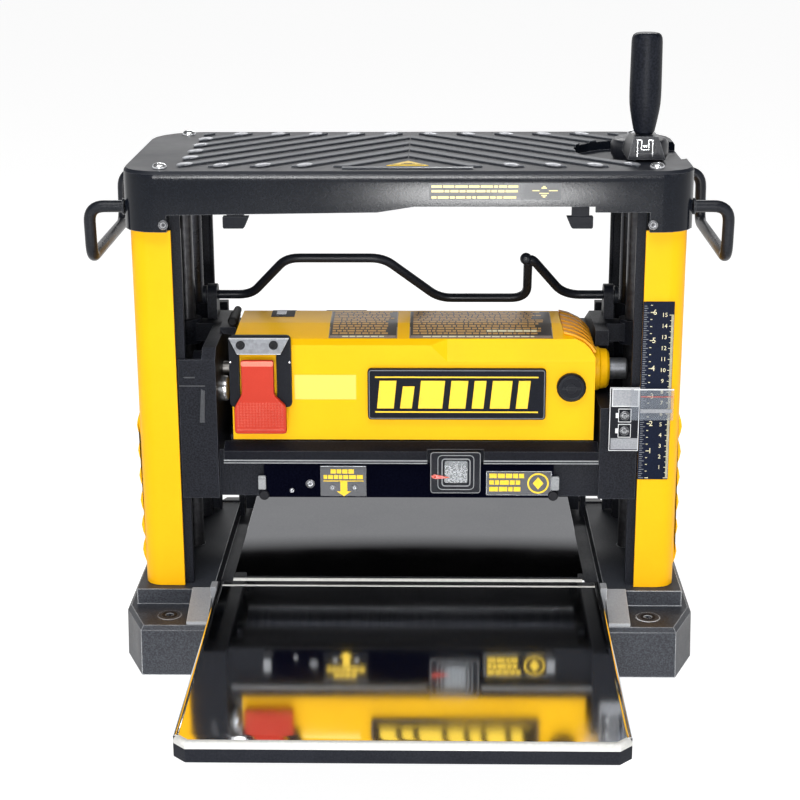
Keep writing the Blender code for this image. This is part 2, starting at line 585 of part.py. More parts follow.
def build_cutter(steel, blade, rubber, dark):
    body = [(-0.1925, 0.0080), (-0.1600, 0.0080), (-0.1600, 0.0235), (0.1600, 0.0235), (0.1600, 0.0080),
            (0.1815, 0.0080)]
    y, z = CUTTER
    slots = [box(-0.17, 0.17, y - 0.0016, y + 0.0016, z + z0, z + z1)
             for z0, z1 in ((-0.0300, -0.0135), (0.0135, 0.0300))]
    piece("cutterhead", steel, turned(body, CUTTER, "X", 24), [], slots, (0, y, z))
    for s, name in ((-1, "a"), (1, "b")):
        tip = [(y - 0.0012, z + s * 0.0140), (y + 0.0012, z + s * 0.0140), (y + 0.0012, z + s * 0.0235),
               (y - 0.0012, z + s * 0.0249)]
        piece(f"planer_knife_{name}", blade, prism(tip, -0.1595, 0.1595, "X"), origin=(0, y, z))
    piece("cutter_pulley", steel, cylinder(CUTTER, 0.0220, -0.1920, -0.1840, "X", 24), [],
          [cylinder(CUTTER, 0.0083, -0.2, -0.18, "X")], (0, y, z))
    for s, name in ((-1, "infeed"), (1, "outfeed")):
        end = [(-0.1815, 0.0060), (-0.1590, 0.0060), (-0.1590, ROLLER_R),
               (0.1590, ROLLER_R), (0.1590, 0.0060), (0.1815, 0.0060)]
        place = (s * ROLLER_Y, ROLLER_Z)
        piece(f"{name}_roller", rubber, turned(end, place, "X"), origin=(0, *place))
    loop = prism(belt_outline(MOTOR, 0.0134, CUTTER, 0.0244), -0.1915, -0.1845, "X")
    inside = prism(belt_outline(MOTOR, 0.0114, CUTTER, 0.0224), -0.2, -0.18, "X")
    piece("drive_belt", dark, loop, [], [inside])


def build_head_covers(black, dark):
    outer = prism(belt_outline(MOTOR, 0.0165, CUTTER, 0.0272), -0.1970, -PLATE_OUT - GAP, "X")
    cavity = prism(belt_outline(MOTOR, 0.0150, CUTTER, 0.0257), -0.1955, -0.17, "X")
    piece("belt_cover", black, outer, [], [cavity])
    chute = box(-0.150, 0.150, 0.0880, 0.1080, 0.160, 0.250)
    inside = box(-0.148, 0.148, 0.080, 0.106, 0.162, 0.248)
    outlet = box(-0.140, 0.140, 0.092, 0.104, 0.15, 0.17)
    piece("chip_chute", black, chute, [], [inside, outlet])
    gland = [(-0.0440, 0.0030), (-0.0425, 0.0042), (-0.0400, 0.0047),
             (-0.0140, 0.0047), (-0.0140, 0.0040), (0.0040, 0.0036)]
    piece("cable_gland", dark, turned(gland, (-0.1612, 0.2946), "Y", 16))


def build_front(black, grey, red, clear, sign):
    """What the operator sees on the front of the head."""
    plate = rounded(-0.0362, 0.1223, 0.2187, 0.2659, 0.003, 3)
    piece("name_plate", sign, prism(plate, -0.0975, -0.0928, "Y"))
    cap = [(-0.0928, 0.0131), (-0.0970, 0.0131), (-0.0985, 0.0118)]
    piece("brush_cap", black, turned(cap, (0.1449, 0.2485), "Y"))
    sheet = [(-0.0932, 0.1975), (-0.1056, 0.1915), (-0.1056, 0.1800),
             (-0.1036, 0.1800), (-0.1036, 0.1902), (-0.0932, 0.1952)]
    notch = box(0.0170, 0.0675, -0.11, -0.095, 0.17, 0.1925)
    piece("front_lip", grey, prism(sheet, -0.1655, 0.1700, "X"), [], [notch])
    piece("front_apron", black, box(-0.1305, 0.1305, -0.1015, -0.0985, 0.1462, 0.1783))
    window = prism(rounded(0.0320, 0.0535, 0.1610, 0.1830, 0.002, 2), -0.12, -0.09, "Y")
    surround = rounded(0.0195, 0.0650, 0.1520, 0.1915, 0.003, 2)
    piece("gauge_frame", black, prism(surround, -0.1060, -0.1018, "Y"), [], [window])
    pane = rounded(0.0325, 0.0530, 0.1615, 0.1825, 0.002, 2)
    piece("gauge_window", clear, prism(pane, -0.1052, -0.1037, "Y"))
    needle = [(0.0215, 0.1660), (0.0255, 0.1660), (0.0375, 0.1680), (0.0255, 0.1705), (0.0215, 0.1705)]
    piece("gauge_pointer", red, prism(needle, -0.1073, -0.1063, "Y"), origin=(0.0235, -0.1068, 0.1682))


def build_switch(black, grey, red):
    window = box(-0.1500, -0.1170, -0.11, -0.09, 0.2370, 0.2785)
    plate = rounded(-0.1591, -0.1038, 0.2302, 0.2962, 0.004, 3)
    piece("switch_plate", black, prism(plate, -0.0978, -0.0928, "Y"), [], [window])
    trapezoid = [(-0.1127, 0.2801), (-0.1048, 0.2951), (-0.1585, 0.2951), (-0.1515, 0.2801)]
    piece("switch_bracket", grey, prism(trapezoid, -0.1015, -0.0981, "Y"))
    blade = [(-0.1190, 0.2750), (-0.1190, 0.2440), (-0.1085, 0.2320), (-0.1085, 0.2090), (-0.1105, 0.2070),
             (-0.1530, 0.2070), (-0.1550, 0.2090), (-0.1550, 0.2320), (-0.1480, 0.2440), (-0.1480, 0.2750)]
    piece("switch_paddle", red, prism(blade, -0.1045, -0.0995, "Y"), origin=(-0.1335, -0.1010, 0.2720))


def build_pointer(black, clear):
    plate = rounded(0.1778, 0.2043, 0.194, 0.253, 0.002, 2)
    piece("pointer_bracket", black, prism(plate, -0.1095, -0.1070, "Y"))
    piece("pointer_lens", clear, box(0.1960, 0.2340, -0.1114, -0.1098, 0.2230, 0.2520))


def build_lock_bar(black):
    """Cranked bar: two raised stretches, the second a narrow peak for a fingertip."""
    y, z = LOCK
    low, high = (y, z), (y - 0.035, z + 0.0427)
    middle, peak = (y - 0.004, z - 0.0022), (y - 0.0395, z + 0.0482)
    start = fillet([(-0.1958, *low), (-0.1498, *low), (-0.1129, *high), (-0.0239, *high), (0.0273, *middle),
                    (0.0700, *middle)], 0.012, 3)
    end = fillet([(0.0700, *middle), (0.1095, *middle), (0.1080, *peak), (0.1445, *low), (0.1958, *low)],
                 0.016, 4)
    cams = [cylinder(LOCK, 0.0085, x0, x1, "X") for x0, x1 in ((-0.1955, -0.1915), (0.1915, 0.1955))]
    piece("lock_bar", black, rod(start[:-1] + end[1:], 0.0042), cams, origin=(0, y, z))


# ---------------------------------------------------------------- assembly
def main():
    clear_scene()
    black = paint("black_powder_coat", (0.020, 0.024, 0.032), 0.50)
    dark = paint("black_rubber", (0.012, 0.012, 0.013), 0.80)
    gloss = paint("black_gloss", (0.018, 0.021, 0.028), 0.28)
    yellow = paint("yellow_moulding", (0.95, 0.62, 0.02), 0.35)
    steel = paint("steel", (0.55, 0.56, 0.58), 0.25, 1.0)
    polished = paint("polished_steel", (0.70, 0.71, 0.73), 0.12, 1.0)
    grey = paint("grey_steel", (0.42, 0.43, 0.45), 0.40, 1.0)
    copper = paint("copper_winding", (0.55, 0.25, 0.12), 0.45, 1.0)
    red = paint("red_moulding", (0.80, 0.07, 0.04), 0.40)
    navy = paint("navy_label", (0.02, 0.03, 0.08), 0.45)
    clear = paint("clear_window", (0.85, 0.88, 0.90), 0.08, 0.0, 0.35)

    build_base(black)
    build_bed(polished)
    build_posts(steel)
    build_side_panels(yellow)
    build_inner_frames(black)
    build_scale(navy)
    build_cover(gloss)
    build_carry_handles(black)
    build_catches(black)
    build_crank(gloss, steel)
    build_lift(steel, dark)
    build_tables(polished, grey)
    build_head_casting(black)
    build_motor(yellow, steel, copper, grey)
    build_cutter(steel, polished, dark, dark)
    build_head_covers(black, dark)
    build_front(black, grey, red, clear, navy)
    build_switch(black, grey, red)
    build_pointer(black, clear)
    build_lock_bar(black)


main()
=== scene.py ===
"""Looks for the thickness planer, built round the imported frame."""

import json
import math
import random

import bmesh
import bpy
from mathutils import Matrix, Vector


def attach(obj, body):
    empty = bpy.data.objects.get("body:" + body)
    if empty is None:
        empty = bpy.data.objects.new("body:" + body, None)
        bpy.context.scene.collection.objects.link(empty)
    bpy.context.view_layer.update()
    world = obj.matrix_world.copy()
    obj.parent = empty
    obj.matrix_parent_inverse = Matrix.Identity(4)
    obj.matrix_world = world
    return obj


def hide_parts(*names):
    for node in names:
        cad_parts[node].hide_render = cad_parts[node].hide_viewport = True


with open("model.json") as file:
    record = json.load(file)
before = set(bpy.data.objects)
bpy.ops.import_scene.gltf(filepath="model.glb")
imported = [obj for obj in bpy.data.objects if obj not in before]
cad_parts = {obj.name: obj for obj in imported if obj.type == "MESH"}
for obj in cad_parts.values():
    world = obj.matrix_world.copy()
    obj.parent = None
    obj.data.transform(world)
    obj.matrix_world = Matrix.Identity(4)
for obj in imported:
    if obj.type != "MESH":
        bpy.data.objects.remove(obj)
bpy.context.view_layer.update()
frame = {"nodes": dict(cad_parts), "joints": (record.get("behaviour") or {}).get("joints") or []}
NODES = frame["nodes"]
JOINT = {j["name"]: Vector(j["pos_m"]) for j in frame["joints"] if "pos_m" in j}

# Faces that carry print and trim: the height of level ones, the place along Y of upright ones.
COVER_TOP, COVER_FRONT = 0.4449, -0.1165
CRANK_FRONT = -0.0700
MOTOR_FRONT, PLATE_FRONT, BRUSH_CAP_FRONT = -0.0925, -0.0975, -0.0990
SWITCH_PLATE_FRONT, SWITCH_BRACKET_FRONT, PADDLE_FRONT = -0.0978, -0.1015, -0.1046
WING_FRONT, LIP_FRONT, APRON_FRONT, PEG_FRONT = -0.1045, -0.1056, -0.1015, -0.1036
DIAL_FRONT, NEEDLE_FRONT = -0.1036, -0.1074
RULE_FRONT, RULE_ZERO, BRACKET_FRONT, LENS_FRONT = -0.1073, 0.168, -0.1095, -0.1114
BED_TOP, BED_FRONT, BED_ROLL = 0.0704, 0.112, 0.003
TABLE_SIDE, TABLE_END, TABLE_CORNER, TABLE_ROLL = 0.172, 0.4255, 0.010, 0.005
FOOT_TOP, BOLT_X, BOLT_Y = 0.0475, 0.215, 0.140

# Which place of a point holds the first, the second and the third value of a section along each axis.
AXES = {"X": (1, 2, 0), "Y": (0, 2, 1), "Z": (0, 1, 2)}


# ---- shapes
def placed(a, b, level, axis):
    """Point of a section (a, b) that lies at a level along an axis."""
    first, second, along = AXES[axis]
    spot = [0.0, 0.0, 0.0]
    spot[first], spot[second], spot[along] = a, b, level
    return spot


def loft(mesh, loops, close=False, slot=0):
    """Skin loops of equal length into a closed body."""
    rows = [[mesh.verts.new(point) for point in loop] for loop in loops]
    pairs = list(zip(rows, rows[1:]))
    faces = []
    if close:
        pairs.append((rows[-1], rows[0]))
    else:
        faces += [mesh.faces.new(rows[0][::-1]), mesh.faces.new(rows[-1])]
    for low, high in pairs:
        for i in range(len(low)):
            j = (i + 1) % len(low)
            faces.append(mesh.faces.new((low[i], low[j], high[j], high[i])))
    for face in faces:
        face.material_index = slot
    return mesh


def prism(mesh, outline, low, high, axis="Z", slot=0):
    """Outline drawn out along an axis."""
    return loft(mesh, [[placed(a, b, level, axis) for a, b in outline] for level in (low, high)], slot=slot)


def ring(centre, radius, sides):
    turns = [math.tau * i / sides for i in range(sides)]
    return [(centre[0] + radius * math.cos(a), centre[1] + radius * math.sin(a)) for a in turns]


def lathe(mesh, profile, centre, axis="Z", sides=32, slot=0, close=False):
    """Round body from a profile of (level, radius)."""
    loops = [[placed(a, b, level, axis) for a, b in ring(centre, radius, sides)]
             for level, radius in profile]
    return loft(mesh, loops, close, slot)


def rounded(x0, x1, y0, y1, radius, steps=4):
    """Rectangle with round corners."""
    outline = []
    for x, y, quarter in ((x1 - radius, y1 - radius, 0), (x0 + radius, y1 - radius, 1),
                          (x0 + radius, y0 + radius, 2), (x1 - radius, y0 + radius, 3)):
        for i in range(steps + 1):
            a = (quarter + i / steps) * math.pi / 2
            outline.append((x + radius * math.cos(a), y + radius * math.sin(a)))
    return outline


def framed(mesh, x, z, width, y0, y1, radius=0.0012, slot=0):
    """Rectangular border lying in an upright plane."""
    outer = rounded(x[0], x[1], z[0], z[1], radius, 3)
    inner = rounded(x[0] + width, x[1] - width, z[0] + width, z[1] - width, max(radius - width, 0.0003), 3)
    loops = [[placed(a, b, y1, "Y") for a, b in outer], [placed(a, b, y1, "Y") for a, b in inner],
             [placed(a, b, y0, "Y") for a, b in inner], [placed(a, b, y0, "Y") for a, b in outer]]
    return loft(mesh, loops, True, slot)


def bend(points, radius, steps=6):
    """Path with its corners rounded."""
    path = [Vector(points[0])]
    for before, corner, after in zip(points, points[1:], points[2:]):
        corner = Vector(corner)
        back, ahead = Vector(before) - corner, Vector(after) - corner
        reach = min(radius, back.length * 0.45, ahead.length * 0.45)
        start, end = corner + back.normalized() * reach, corner + ahead.normalized() * reach
        for i in range(steps + 1):
            t = i / steps
            path.append(start * (1 - t) ** 2 + corner * 2 * t * (1 - t) + end * t ** 2)
    path.append(Vector(points[-1]))
    return path


def tube(mesh, path, radius, sides=20):
    """Round bar along a path."""
    loops, side = [], None
    for i, point in enumerate(path):
        ahead = (path[min(i + 1, len(path) - 1)] - path[max(i - 1, 0)]).normalized()
        if side is None:
            side = ahead.cross(Vector((0.31, 0.17, 0.93))).normalized()
        side = (side - ahead * side.dot(ahead)).normalized()
        up = ahead.cross(side)
        loops.append([point + radius * (side * math.cos(a) + up * math.sin(a))
                      for a in (math.tau * k / sides for k in range(sides))])
    return loft(mesh, loops)


# ---- objects
def finish_modifiers(obj, bevel, segments, angle):
    """Soft edges, and normals that keep flat faces flat."""
    if bevel:
        edge = obj.modifiers.new("edges", "BEVEL")
        edge.width = bevel
        edge.segments = segments
        edge.limit_method = "ANGLE"
        edge.angle_limit = math.radians(angle)
        edge.use_clamp_overlap = True
    shade = obj.modifiers.new("shading", "WEIGHTED_NORMAL")
    shade.keep_sharp = True
    shade.weight = 60


def make(name, mesh, materials, body, bevel=0.0, segments=2, replaces=(), angle=34):
    """Object from a bmesh, riding on a body."""
    bmesh.ops.recalc_face_normals(mesh, faces=mesh.faces)
    data = bpy.data.meshes.new(name)
    mesh.to_mesh(data)
    mesh.free()
    obj = bpy.data.objects.new(name, data)
    bpy.context.scene.collection.objects.link(obj)
    for material in (materials if isinstance(materials, (list, tuple)) else [materials]):
        data.materials.append(material)
    data.shade_smooth()
    data.set_sharp_from_angle(angle=math.radians(40))
    finish_modifiers(obj, bevel, segments, angle)
    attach(obj, body)
    if replaces:
        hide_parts(*replaces)
    return obj


def dress(names, material, bevel=0.0006, segments=2, angle=30, merge=True):
    """Material and soft edges for CAD nodes.  merge joins the triangles of flat faces."""
    for name in names.split():
        obj = NODES[name]
        obj.data.materials.clear()
        obj.data.materials.append(material)
        if obj.data.has_custom_normals:
            with bpy.context.temp_override(object=obj, active_object=obj, selected_objects=[obj]):
                bpy.ops.mesh.customdata_custom_splitnormals_clear()
        obj.data.shade_smooth()
        weld = obj.modifiers.new("weld", "WELD")
        weld.merge_threshold = 1e-6
        if merge:
            flat = obj.modifiers.new("faces", "DECIMATE")
            flat.decimate_type = "DISSOLVE"
            flat.angle_limit = math.radians(0.6)
        finish_modifiers(obj, bevel, segments, angle)


# ---- materials
def node(tree, kind, **sockets):
    """Shader node with the values of some of its sockets."""
    made = tree.nodes.new(kind)
    for key, value in sockets.items():
        made.inputs[key.replace("_", " ")].default_value = value
    return made


def ranged(tree, source, low, high, from_low=0.0, from_high=1.0):
    """Value carried from one range to another, and kept inside it."""
    made = node(tree, "ShaderNodeMapRange", From_Min=from_low, From_Max=from_high, To_Min=low, To_Max=high)
    tree.links.new(source, made.inputs["Value"])
    return made.outputs["Result"]


def mixed(tree, factor, first, second):
    """Two colours mixed by a factor; each may be a value or a socket."""
    made = tree.nodes.new("ShaderNodeMix")
    made.data_type = "RGBA"
    for socket, value in ((0, factor), (6, first), (7, second)):
        if isinstance(value, bpy.types.NodeSocket):
            tree.links.new(value, made.inputs[socket])
        elif isinstance(value, float):
            made.inputs[socket].default_value = value
        else:
            made.inputs[socket].default_value = (*value, 1.0)
    return made.outputs[2]


def maths(tree, operation, *values):
    made = tree.nodes.new("ShaderNodeMath")
    made.operation = operation
    for socket, value in zip(made.inputs, values):
        if isinstance(value, bpy.types.NodeSocket):
            tree.links.new(value, socket)
        else:
            socket.default_value = value
    return made.outputs[0]


def rubbed_edges(tree, patches, width, share):
    """Mask of outer edges where a highlight is painted, broken up by a wide noise."""
    edge = node(tree, "ShaderNodeBevel", Radius=width)
    edge.samples = 4
    shape = tree.nodes.new("ShaderNodeNewGeometry")
    dot = tree.nodes.new("ShaderNodeVectorMath")
    dot.operation = "DOT_PRODUCT"
    tree.links.new(edge.outputs[0], dot.inputs[0])
    tree.links.new(shape.outputs["Normal"], dot.inputs[1])
    highlight = ranged(tree, dot.outputs["Value"], share, 0.0, 0.80, 0.985)
    return maths(tree, "MULTIPLY", highlight, ranged(tree, patches, 0.45, 1.0, 0.38, 0.55))


def fine_lines(tree, place, depth, grain):
    """Height of slanted hair scratches laid over a grain."""
    comb = node(tree, "ShaderNodeMapping", Scale=(26.0, 900.0, 900.0), Rotation=(0.0, 0.0, 0.5))
    lines = node(tree, "ShaderNodeTexNoise", Scale=1.0, Detail=3.0)
    tree.links.new(place, comb.inputs["Vector"])
    tree.links.new(comb.outputs["Vector"], lines.inputs["Vector"])
    return maths(tree, "MULTIPLY_ADD", lines.outputs[0], depth, grain)


def surface(name, dark, light, rough, metallic=0.0, grain=900.0, grain_bump=0.25, cloud=14.0,
            cloud_share=0.5, edge_highlight=None, edge_highlight_width=0.0012, edge_highlight_share=0.6, coat=0.0, coat_rough=0.1,
            specular=0.5, stretch=None, scratches=0.0, top=None, raised_sheen=None):
    """Two-tone grained surface.  Its edge colour is a highlight painted on its edges, stretch draws the
    grain out along an axis, top is (colour, metallic, roughness) of faces that look up, and its raised
    (height, colour) is a sheen painted on what stands above that height."""
    material = bpy.data.materials.new(name)
    material.use_nodes = True
    tree = material.node_tree
    link = tree.links.new
    shader = tree.nodes["Principled BSDF"]
    shader.inputs["Specular IOR Level"].default_value = specular
    shader.inputs["Coat Weight"].default_value = coat
    shader.inputs["Coat Roughness"].default_value = coat_rough
    where = tree.nodes.new("ShaderNodeTexCoord")
    place = where.outputs["Object"]
    if stretch:
        mapping = node(tree, "ShaderNodeMapping", Scale=stretch)
        link(place, mapping.inputs["Vector"])
        place = mapping.outputs["Vector"]
    fine = node(tree, "ShaderNodeTexNoise", Scale=grain, Detail=2.0, Roughness=0.6)
    link(place, fine.inputs["Vector"])
    wide = node(tree, "ShaderNodeTexNoise", Scale=cloud, Detail=5.0, Roughness=0.6)
    link(where.outputs["Object"], wide.inputs["Vector"])
    fine_tone = ranged(tree, fine.outputs[0], 0.0, 1.0, 0.36, 0.64)
    wide_tone = ranged(tree, wide.outputs[0], 0.0, 1.0, 0.30, 0.70)
    both = tree.nodes.new("ShaderNodeMix")
    both.inputs[0].default_value = cloud_share
    link(fine_tone, both.inputs[2])
    link(wide_tone, both.inputs[3])
    tone = both.outputs[0]
    colour = mixed(tree, tone, dark, light)
    roughness = ranged(tree, wide_tone, rough[0], rough[1])
    if top:
        split = tree.nodes.new("ShaderNodeSeparateXYZ")
        link(where.outputs["Normal"], split.inputs[0])
        up = ranged(tree, split.outputs["Z"], 0.0, 1.0, 0.15, 0.45)
        top_colour, top_metallic, top_rough = top
        colour = mixed(tree, up, colour, top_colour)
        metal = ranged(tree, up, metallic, top_metallic)
        link(metal, shader.inputs["Metallic"])
        smooth = tree.nodes.new("ShaderNodeMix")
        link(up, smooth.inputs[0])
        link(roughness, smooth.inputs[2])
        link(ranged(tree, wide_tone, top_rough[0], top_rough[1]), smooth.inputs[3])
        roughness = smooth.outputs[0]
        # Painted sheen: the given colour on what stands above the given height.
        if raised_sheen:
            height_of = tree.nodes.new("ShaderNodeSeparateXYZ")
            link(where.outputs["Object"], height_of.inputs[0])
            sheen_mask = ranged(tree, height_of.outputs["Z"], 0.0, 1.0, raised_sheen[0] - 0.0003, raised_sheen[0] + 0.0003)
            colour = mixed(tree, sheen_mask, colour, raised_sheen[1])
    else:
        shader.inputs["Metallic"].default_value = metallic
    # Painted highlight along the edges, in the edge colour.
    if edge_highlight:
        colour = mixed(tree, rubbed_edges(tree, wide.outputs[0], edge_highlight_width, edge_highlight_share), colour, edge_highlight)
    bump = node(tree, "ShaderNodeBump", Strength=grain_bump, Distance=0.00035)
    height = fine.outputs[0]
    if scratches:
        height = fine_lines(tree, where.outputs["Object"], scratches, height)
    link(height, bump.inputs["Height"])
    link(colour, shader.inputs["Base Color"])
    link(roughness, shader.inputs["Roughness"])
    link(bump.outputs[0], shader.inputs["Normal"])
    return material


def clear(name, colour, alpha, rough=0.06):
    """Clear acrylic: mostly see-through, with sharp reflections and a faint haze."""
    material = surface(name, colour, colour, (rough, rough + 0.08), grain=300.0, grain_bump=0.02,
                       cloud=40.0, specular=0.7, coat=0.6, coat_rough=0.03)
    shader = material.node_tree.nodes["Principled BSDF"]
    shader.inputs["Alpha"].default_value = alpha
    return material


# The edge colour that many of these materials take is a highlight painted along their edges.
base_powder = surface(
    "base_powder", (0.012, 0.013, 0.019), (0.050, 0.056, 0.068), (0.40, 0.58), grain=780.0, grain_bump=0.55,
    cloud_share=0.15, edge_highlight=(0.80, 0.82, 0.85), edge_highlight_share=1.0, edge_highlight_width=0.0016, specular=0.35)
satin = surface(
    "satin_black", (0.003, 0.0035, 0.006), (0.016, 0.018, 0.025), (0.38, 0.55), grain=700.0,
    grain_bump=0.45, cloud_share=0.2, edge_highlight=(0.20, 0.21, 0.24), edge_highlight_share=0.5, edge_highlight_width=0.0009,
    specular=0.12)
apron_black = surface(
    "apron_black", (0.0006, 0.0006, 0.003), (0.003, 0.0035, 0.009), (0.40, 0.55), grain=700.0,
    grain_bump=0.3, cloud_share=0.2, edge_highlight=(0.16, 0.17, 0.20), edge_highlight_share=0.25, edge_highlight_width=0.0008,
    specular=0.0)
# The black cover's ribs get a grey sheen painted on their tops.
gloss = surface(
    "gloss_black", (0.001, 0.002, 0.005), (0.005, 0.007, 0.012), (0.11, 0.16), grain=700.0, grain_bump=0.05,
    cloud_share=0.2, edge_highlight=(0.32, 0.33, 0.35), edge_highlight_share=0.7, edge_highlight_width=0.0008, specular=0.24,
    top=((0.014, 0.016, 0.022), 0.0, (0.40, 0.52)), raised_sheen=(COVER_TOP + 0.0007, (0.085, 0.092, 0.105)))
crank_black = surface(
    "crank_black", (0.004, 0.005, 0.008), (0.022, 0.024, 0.031), (0.28, 0.40), grain=700.0,
    edge_highlight=(0.40, 0.41, 0.43), edge_highlight_share=0.8, edge_highlight_width=0.0008, specular=0.35)
rod_black = surface(
    "rod_black", (0.006, 0.007, 0.010), (0.018, 0.020, 0.026), (0.24, 0.36), grain=500.0, grain_bump=0.18,
    edge_highlight=(0.22, 0.23, 0.25), edge_highlight_share=0.3, specular=0.22)
plastic = surface(
    "black_plastic", (0.003, 0.003, 0.006), (0.010, 0.012, 0.017), (0.32, 0.45), grain=1100.0,
    grain_bump=0.22, edge_highlight=(0.14, 0.15, 0.16), edge_highlight_share=0.45, specular=0.12)
deep = surface(
    "deep_black", (0.002, 0.002, 0.004), (0.008, 0.008, 0.012), (0.50, 0.70), grain=600.0, grain_bump=0.3,
    specular=0.3)
grip_black = surface(
    "grip_black", (0.002, 0.003, 0.006), (0.012, 0.014, 0.021), (0.36, 0.48), grain=560.0, grain_bump=0.45,
    cloud_share=0.1, specular=0.14)
yellow = surface(
    "yellow_plastic", (0.90, 0.47, 0.002), (0.97, 0.53, 0.004), (0.30, 0.42), grain=1300.0, grain_bump=0.10,
    cloud_share=0.7, edge_highlight=(1.0, 0.66, 0.05), edge_highlight_share=0.35, specular=0.12)
panel_yellow = surface(
    "panel_yellow", (0.93, 0.45, 0.002), (0.98, 0.50, 0.005), (0.36, 0.48), grain=1500.0, grain_bump=0.16,
    cloud_share=0.6, edge_highlight=(1.0, 0.66, 0.06), edge_highlight_share=0.3, specular=0.12)
orange = surface(
    "vent_yellow", (0.90, 0.34, 0.004), (0.98, 0.44, 0.008), (0.34, 0.46), grain=1300.0, grain_bump=0.12,
    edge_highlight=(1.0, 0.66, 0.08))
patch_yellow = surface(
    "patch_yellow", (0.98, 0.62, 0.075), (1.0, 0.67, 0.10), (0.36, 0.46), grain=1500.0, grain_bump=0.04)
pale = surface(
    "pale_label", (0.95, 0.80, 0.34), (1.0, 0.86, 0.42), (0.42, 0.50), grain=1500.0, grain_bump=0.04)
mirror = surface(
    "polished_table", (0.005, 0.006, 0.010), (0.018, 0.020, 0.027), (0.40, 0.55), grain=700.0,
    grain_bump=0.003, scratches=0.5, edge_highlight=(0.26, 0.27, 0.29), edge_highlight_share=0.5, specular=0.12,
    top=((0.76, 0.77, 0.79), 1.0, (0.060, 0.095)))
bed = surface(
    "polished_bed", (0.62, 0.63, 0.65), (0.72, 0.73, 0.74), (0.015, 0.030), 1.0, grain=700.0,
    grain_bump=0.0006, scratches=0.5)
steel = surface(
    "ground_steel", (0.40, 0.41, 0.43), (0.54, 0.55, 0.57), (0.16, 0.26), 1.0, grain=30.0, grain_bump=0.10,
    stretch=(1.0, 1.0, 40.0))
post_dark = surface(
    "blued_post", (0.018, 0.019, 0.024), (0.045, 0.047, 0.056), (0.22, 0.34), 0.6, grain=30.0,
    grain_bump=0.10, stretch=(1.0, 1.0, 40.0), specular=0.3)
blued = surface(
    "blued_cutter", (0.020, 0.021, 0.026), (0.050, 0.052, 0.060), (0.26, 0.38), 0.7, grain=24.0,
    grain_bump=0.12, stretch=(40.0, 1.0, 1.0), specular=0.3)
zinc = surface(
    "zinc_plate", (0.15, 0.155, 0.17), (0.26, 0.27, 0.29), (0.36, 0.48), 0.8, grain=260.0, grain_bump=0.20,
    edge_highlight=(0.60, 0.62, 0.64), edge_highlight_share=0.7)
# Pale, barely metallic colour for the skins and strips on the bed and table edges: a painted highlight.
pale_edge_highlight = surface(
    "pale_edge_highlight", (0.55, 0.55, 0.53), (0.68, 0.67, 0.64), (0.34, 0.46), 0.15, grain=300.0, grain_bump=0.05)
bead_steel = surface(
    "bead_steel", (0.78, 0.79, 0.80), (0.88, 0.88, 0.89), (0.05, 0.09), 1.0, grain=300.0, grain_bump=0.01)
pad_grey = surface(
    "bracket_grey", (0.28, 0.29, 0.31), (0.40, 0.41, 0.43), (0.40, 0.52), 0.2, grain_bump=0.30,
    edge_highlight=(0.72, 0.73, 0.74), edge_highlight_share=0.9)
lip_grey = surface(
    "lip_grey", (0.002, 0.0025, 0.005), (0.008, 0.009, 0.014), (0.32, 0.44), grain=500.0,
    edge_highlight=(0.30, 0.31, 0.33), edge_highlight_share=0.5, specular=0.08)
bright = surface(
    "bright_steel", (0.66, 0.67, 0.69), (0.82, 0.83, 0.85), (0.14, 0.26), 0.85, grain=300.0,
    grain_bump=0.08)
# Light grey colour for the rib end caps of the black cover: a painted highlight.
rib_end_highlight = surface(
    "rib_end_painted_highlight", (0.20, 0.21, 0.23), (0.40, 0.41, 0.44), (0.24, 0.36), 0.3, grain=500.0,
    grain_bump=0.15)
oiled = surface(
    "oiled_steel", (0.03, 0.03, 0.034), (0.08, 0.08, 0.086), (0.28, 0.42), 0.7, grain=220.0,
    grain_bump=0.15, edge_highlight=(0.3, 0.3, 0.3))
rubber = surface(
    "rubber", (0.008, 0.008, 0.009), (0.020, 0.020, 0.022), (0.62, 0.78), grain=500.0, grain_bump=0.4,
    specular=0.25)
iron = surface(
    "laminations", (0.22, 0.21, 0.20), (0.34, 0.33, 0.31), (0.34, 0.46), 1.0, grain=60.0, grain_bump=0.3,
    stretch=(30.0, 1.0, 1.0))
copper = surface(
    "winding", (0.38, 0.15, 0.07), (0.56, 0.25, 0.11), (0.30, 0.45), 1.0, grain=40.0, grain_bump=0.5,
    stretch=(1.0, 12.0, 12.0))
red = surface(
    "red_plastic", (0.46, 0.024, 0.008), (0.54, 0.036, 0.014), (0.30, 0.40), grain=1100.0, grain_bump=0.10,
    specular=0.15, cloud_share=0.7, edge_highlight=(0.95, 0.28, 0.20), coat=0.25)
red_light = surface(
    "red_edge", (0.86, 0.16, 0.10), (0.92, 0.22, 0.15), (0.26, 0.36), grain_bump=0.08, coat=0.3)
sign = surface(
    "sign_black", (0.002, 0.003, 0.007), (0.007, 0.009, 0.016), (0.34, 0.46), grain_bump=0.08, coat=0.15,
    specular=0.06)
navy = surface(
    "rule_navy", (0.002, 0.004, 0.014), (0.007, 0.012, 0.030), (0.36, 0.48), grain=1000.0, grain_bump=0.05,
    specular=0.08)
rule_grey = surface("rule_grey", (0.10, 0.11, 0.13), (0.18, 0.19, 0.22), (0.40, 0.50), grain_bump=0.10)
ink_yellow = surface("ink_yellow", (0.90, 0.58, 0.012), (0.98, 0.66, 0.025), (0.40, 0.50), grain_bump=0.02)
ink_cream = surface("ink_cream", (0.72, 0.66, 0.42), (0.86, 0.80, 0.56), (0.40, 0.50), grain_bump=0.02)
ink_tan = surface("ink_tan", (0.40, 0.21, 0.055), (0.58, 0.34, 0.10), (0.40, 0.50), grain_bump=0.02)
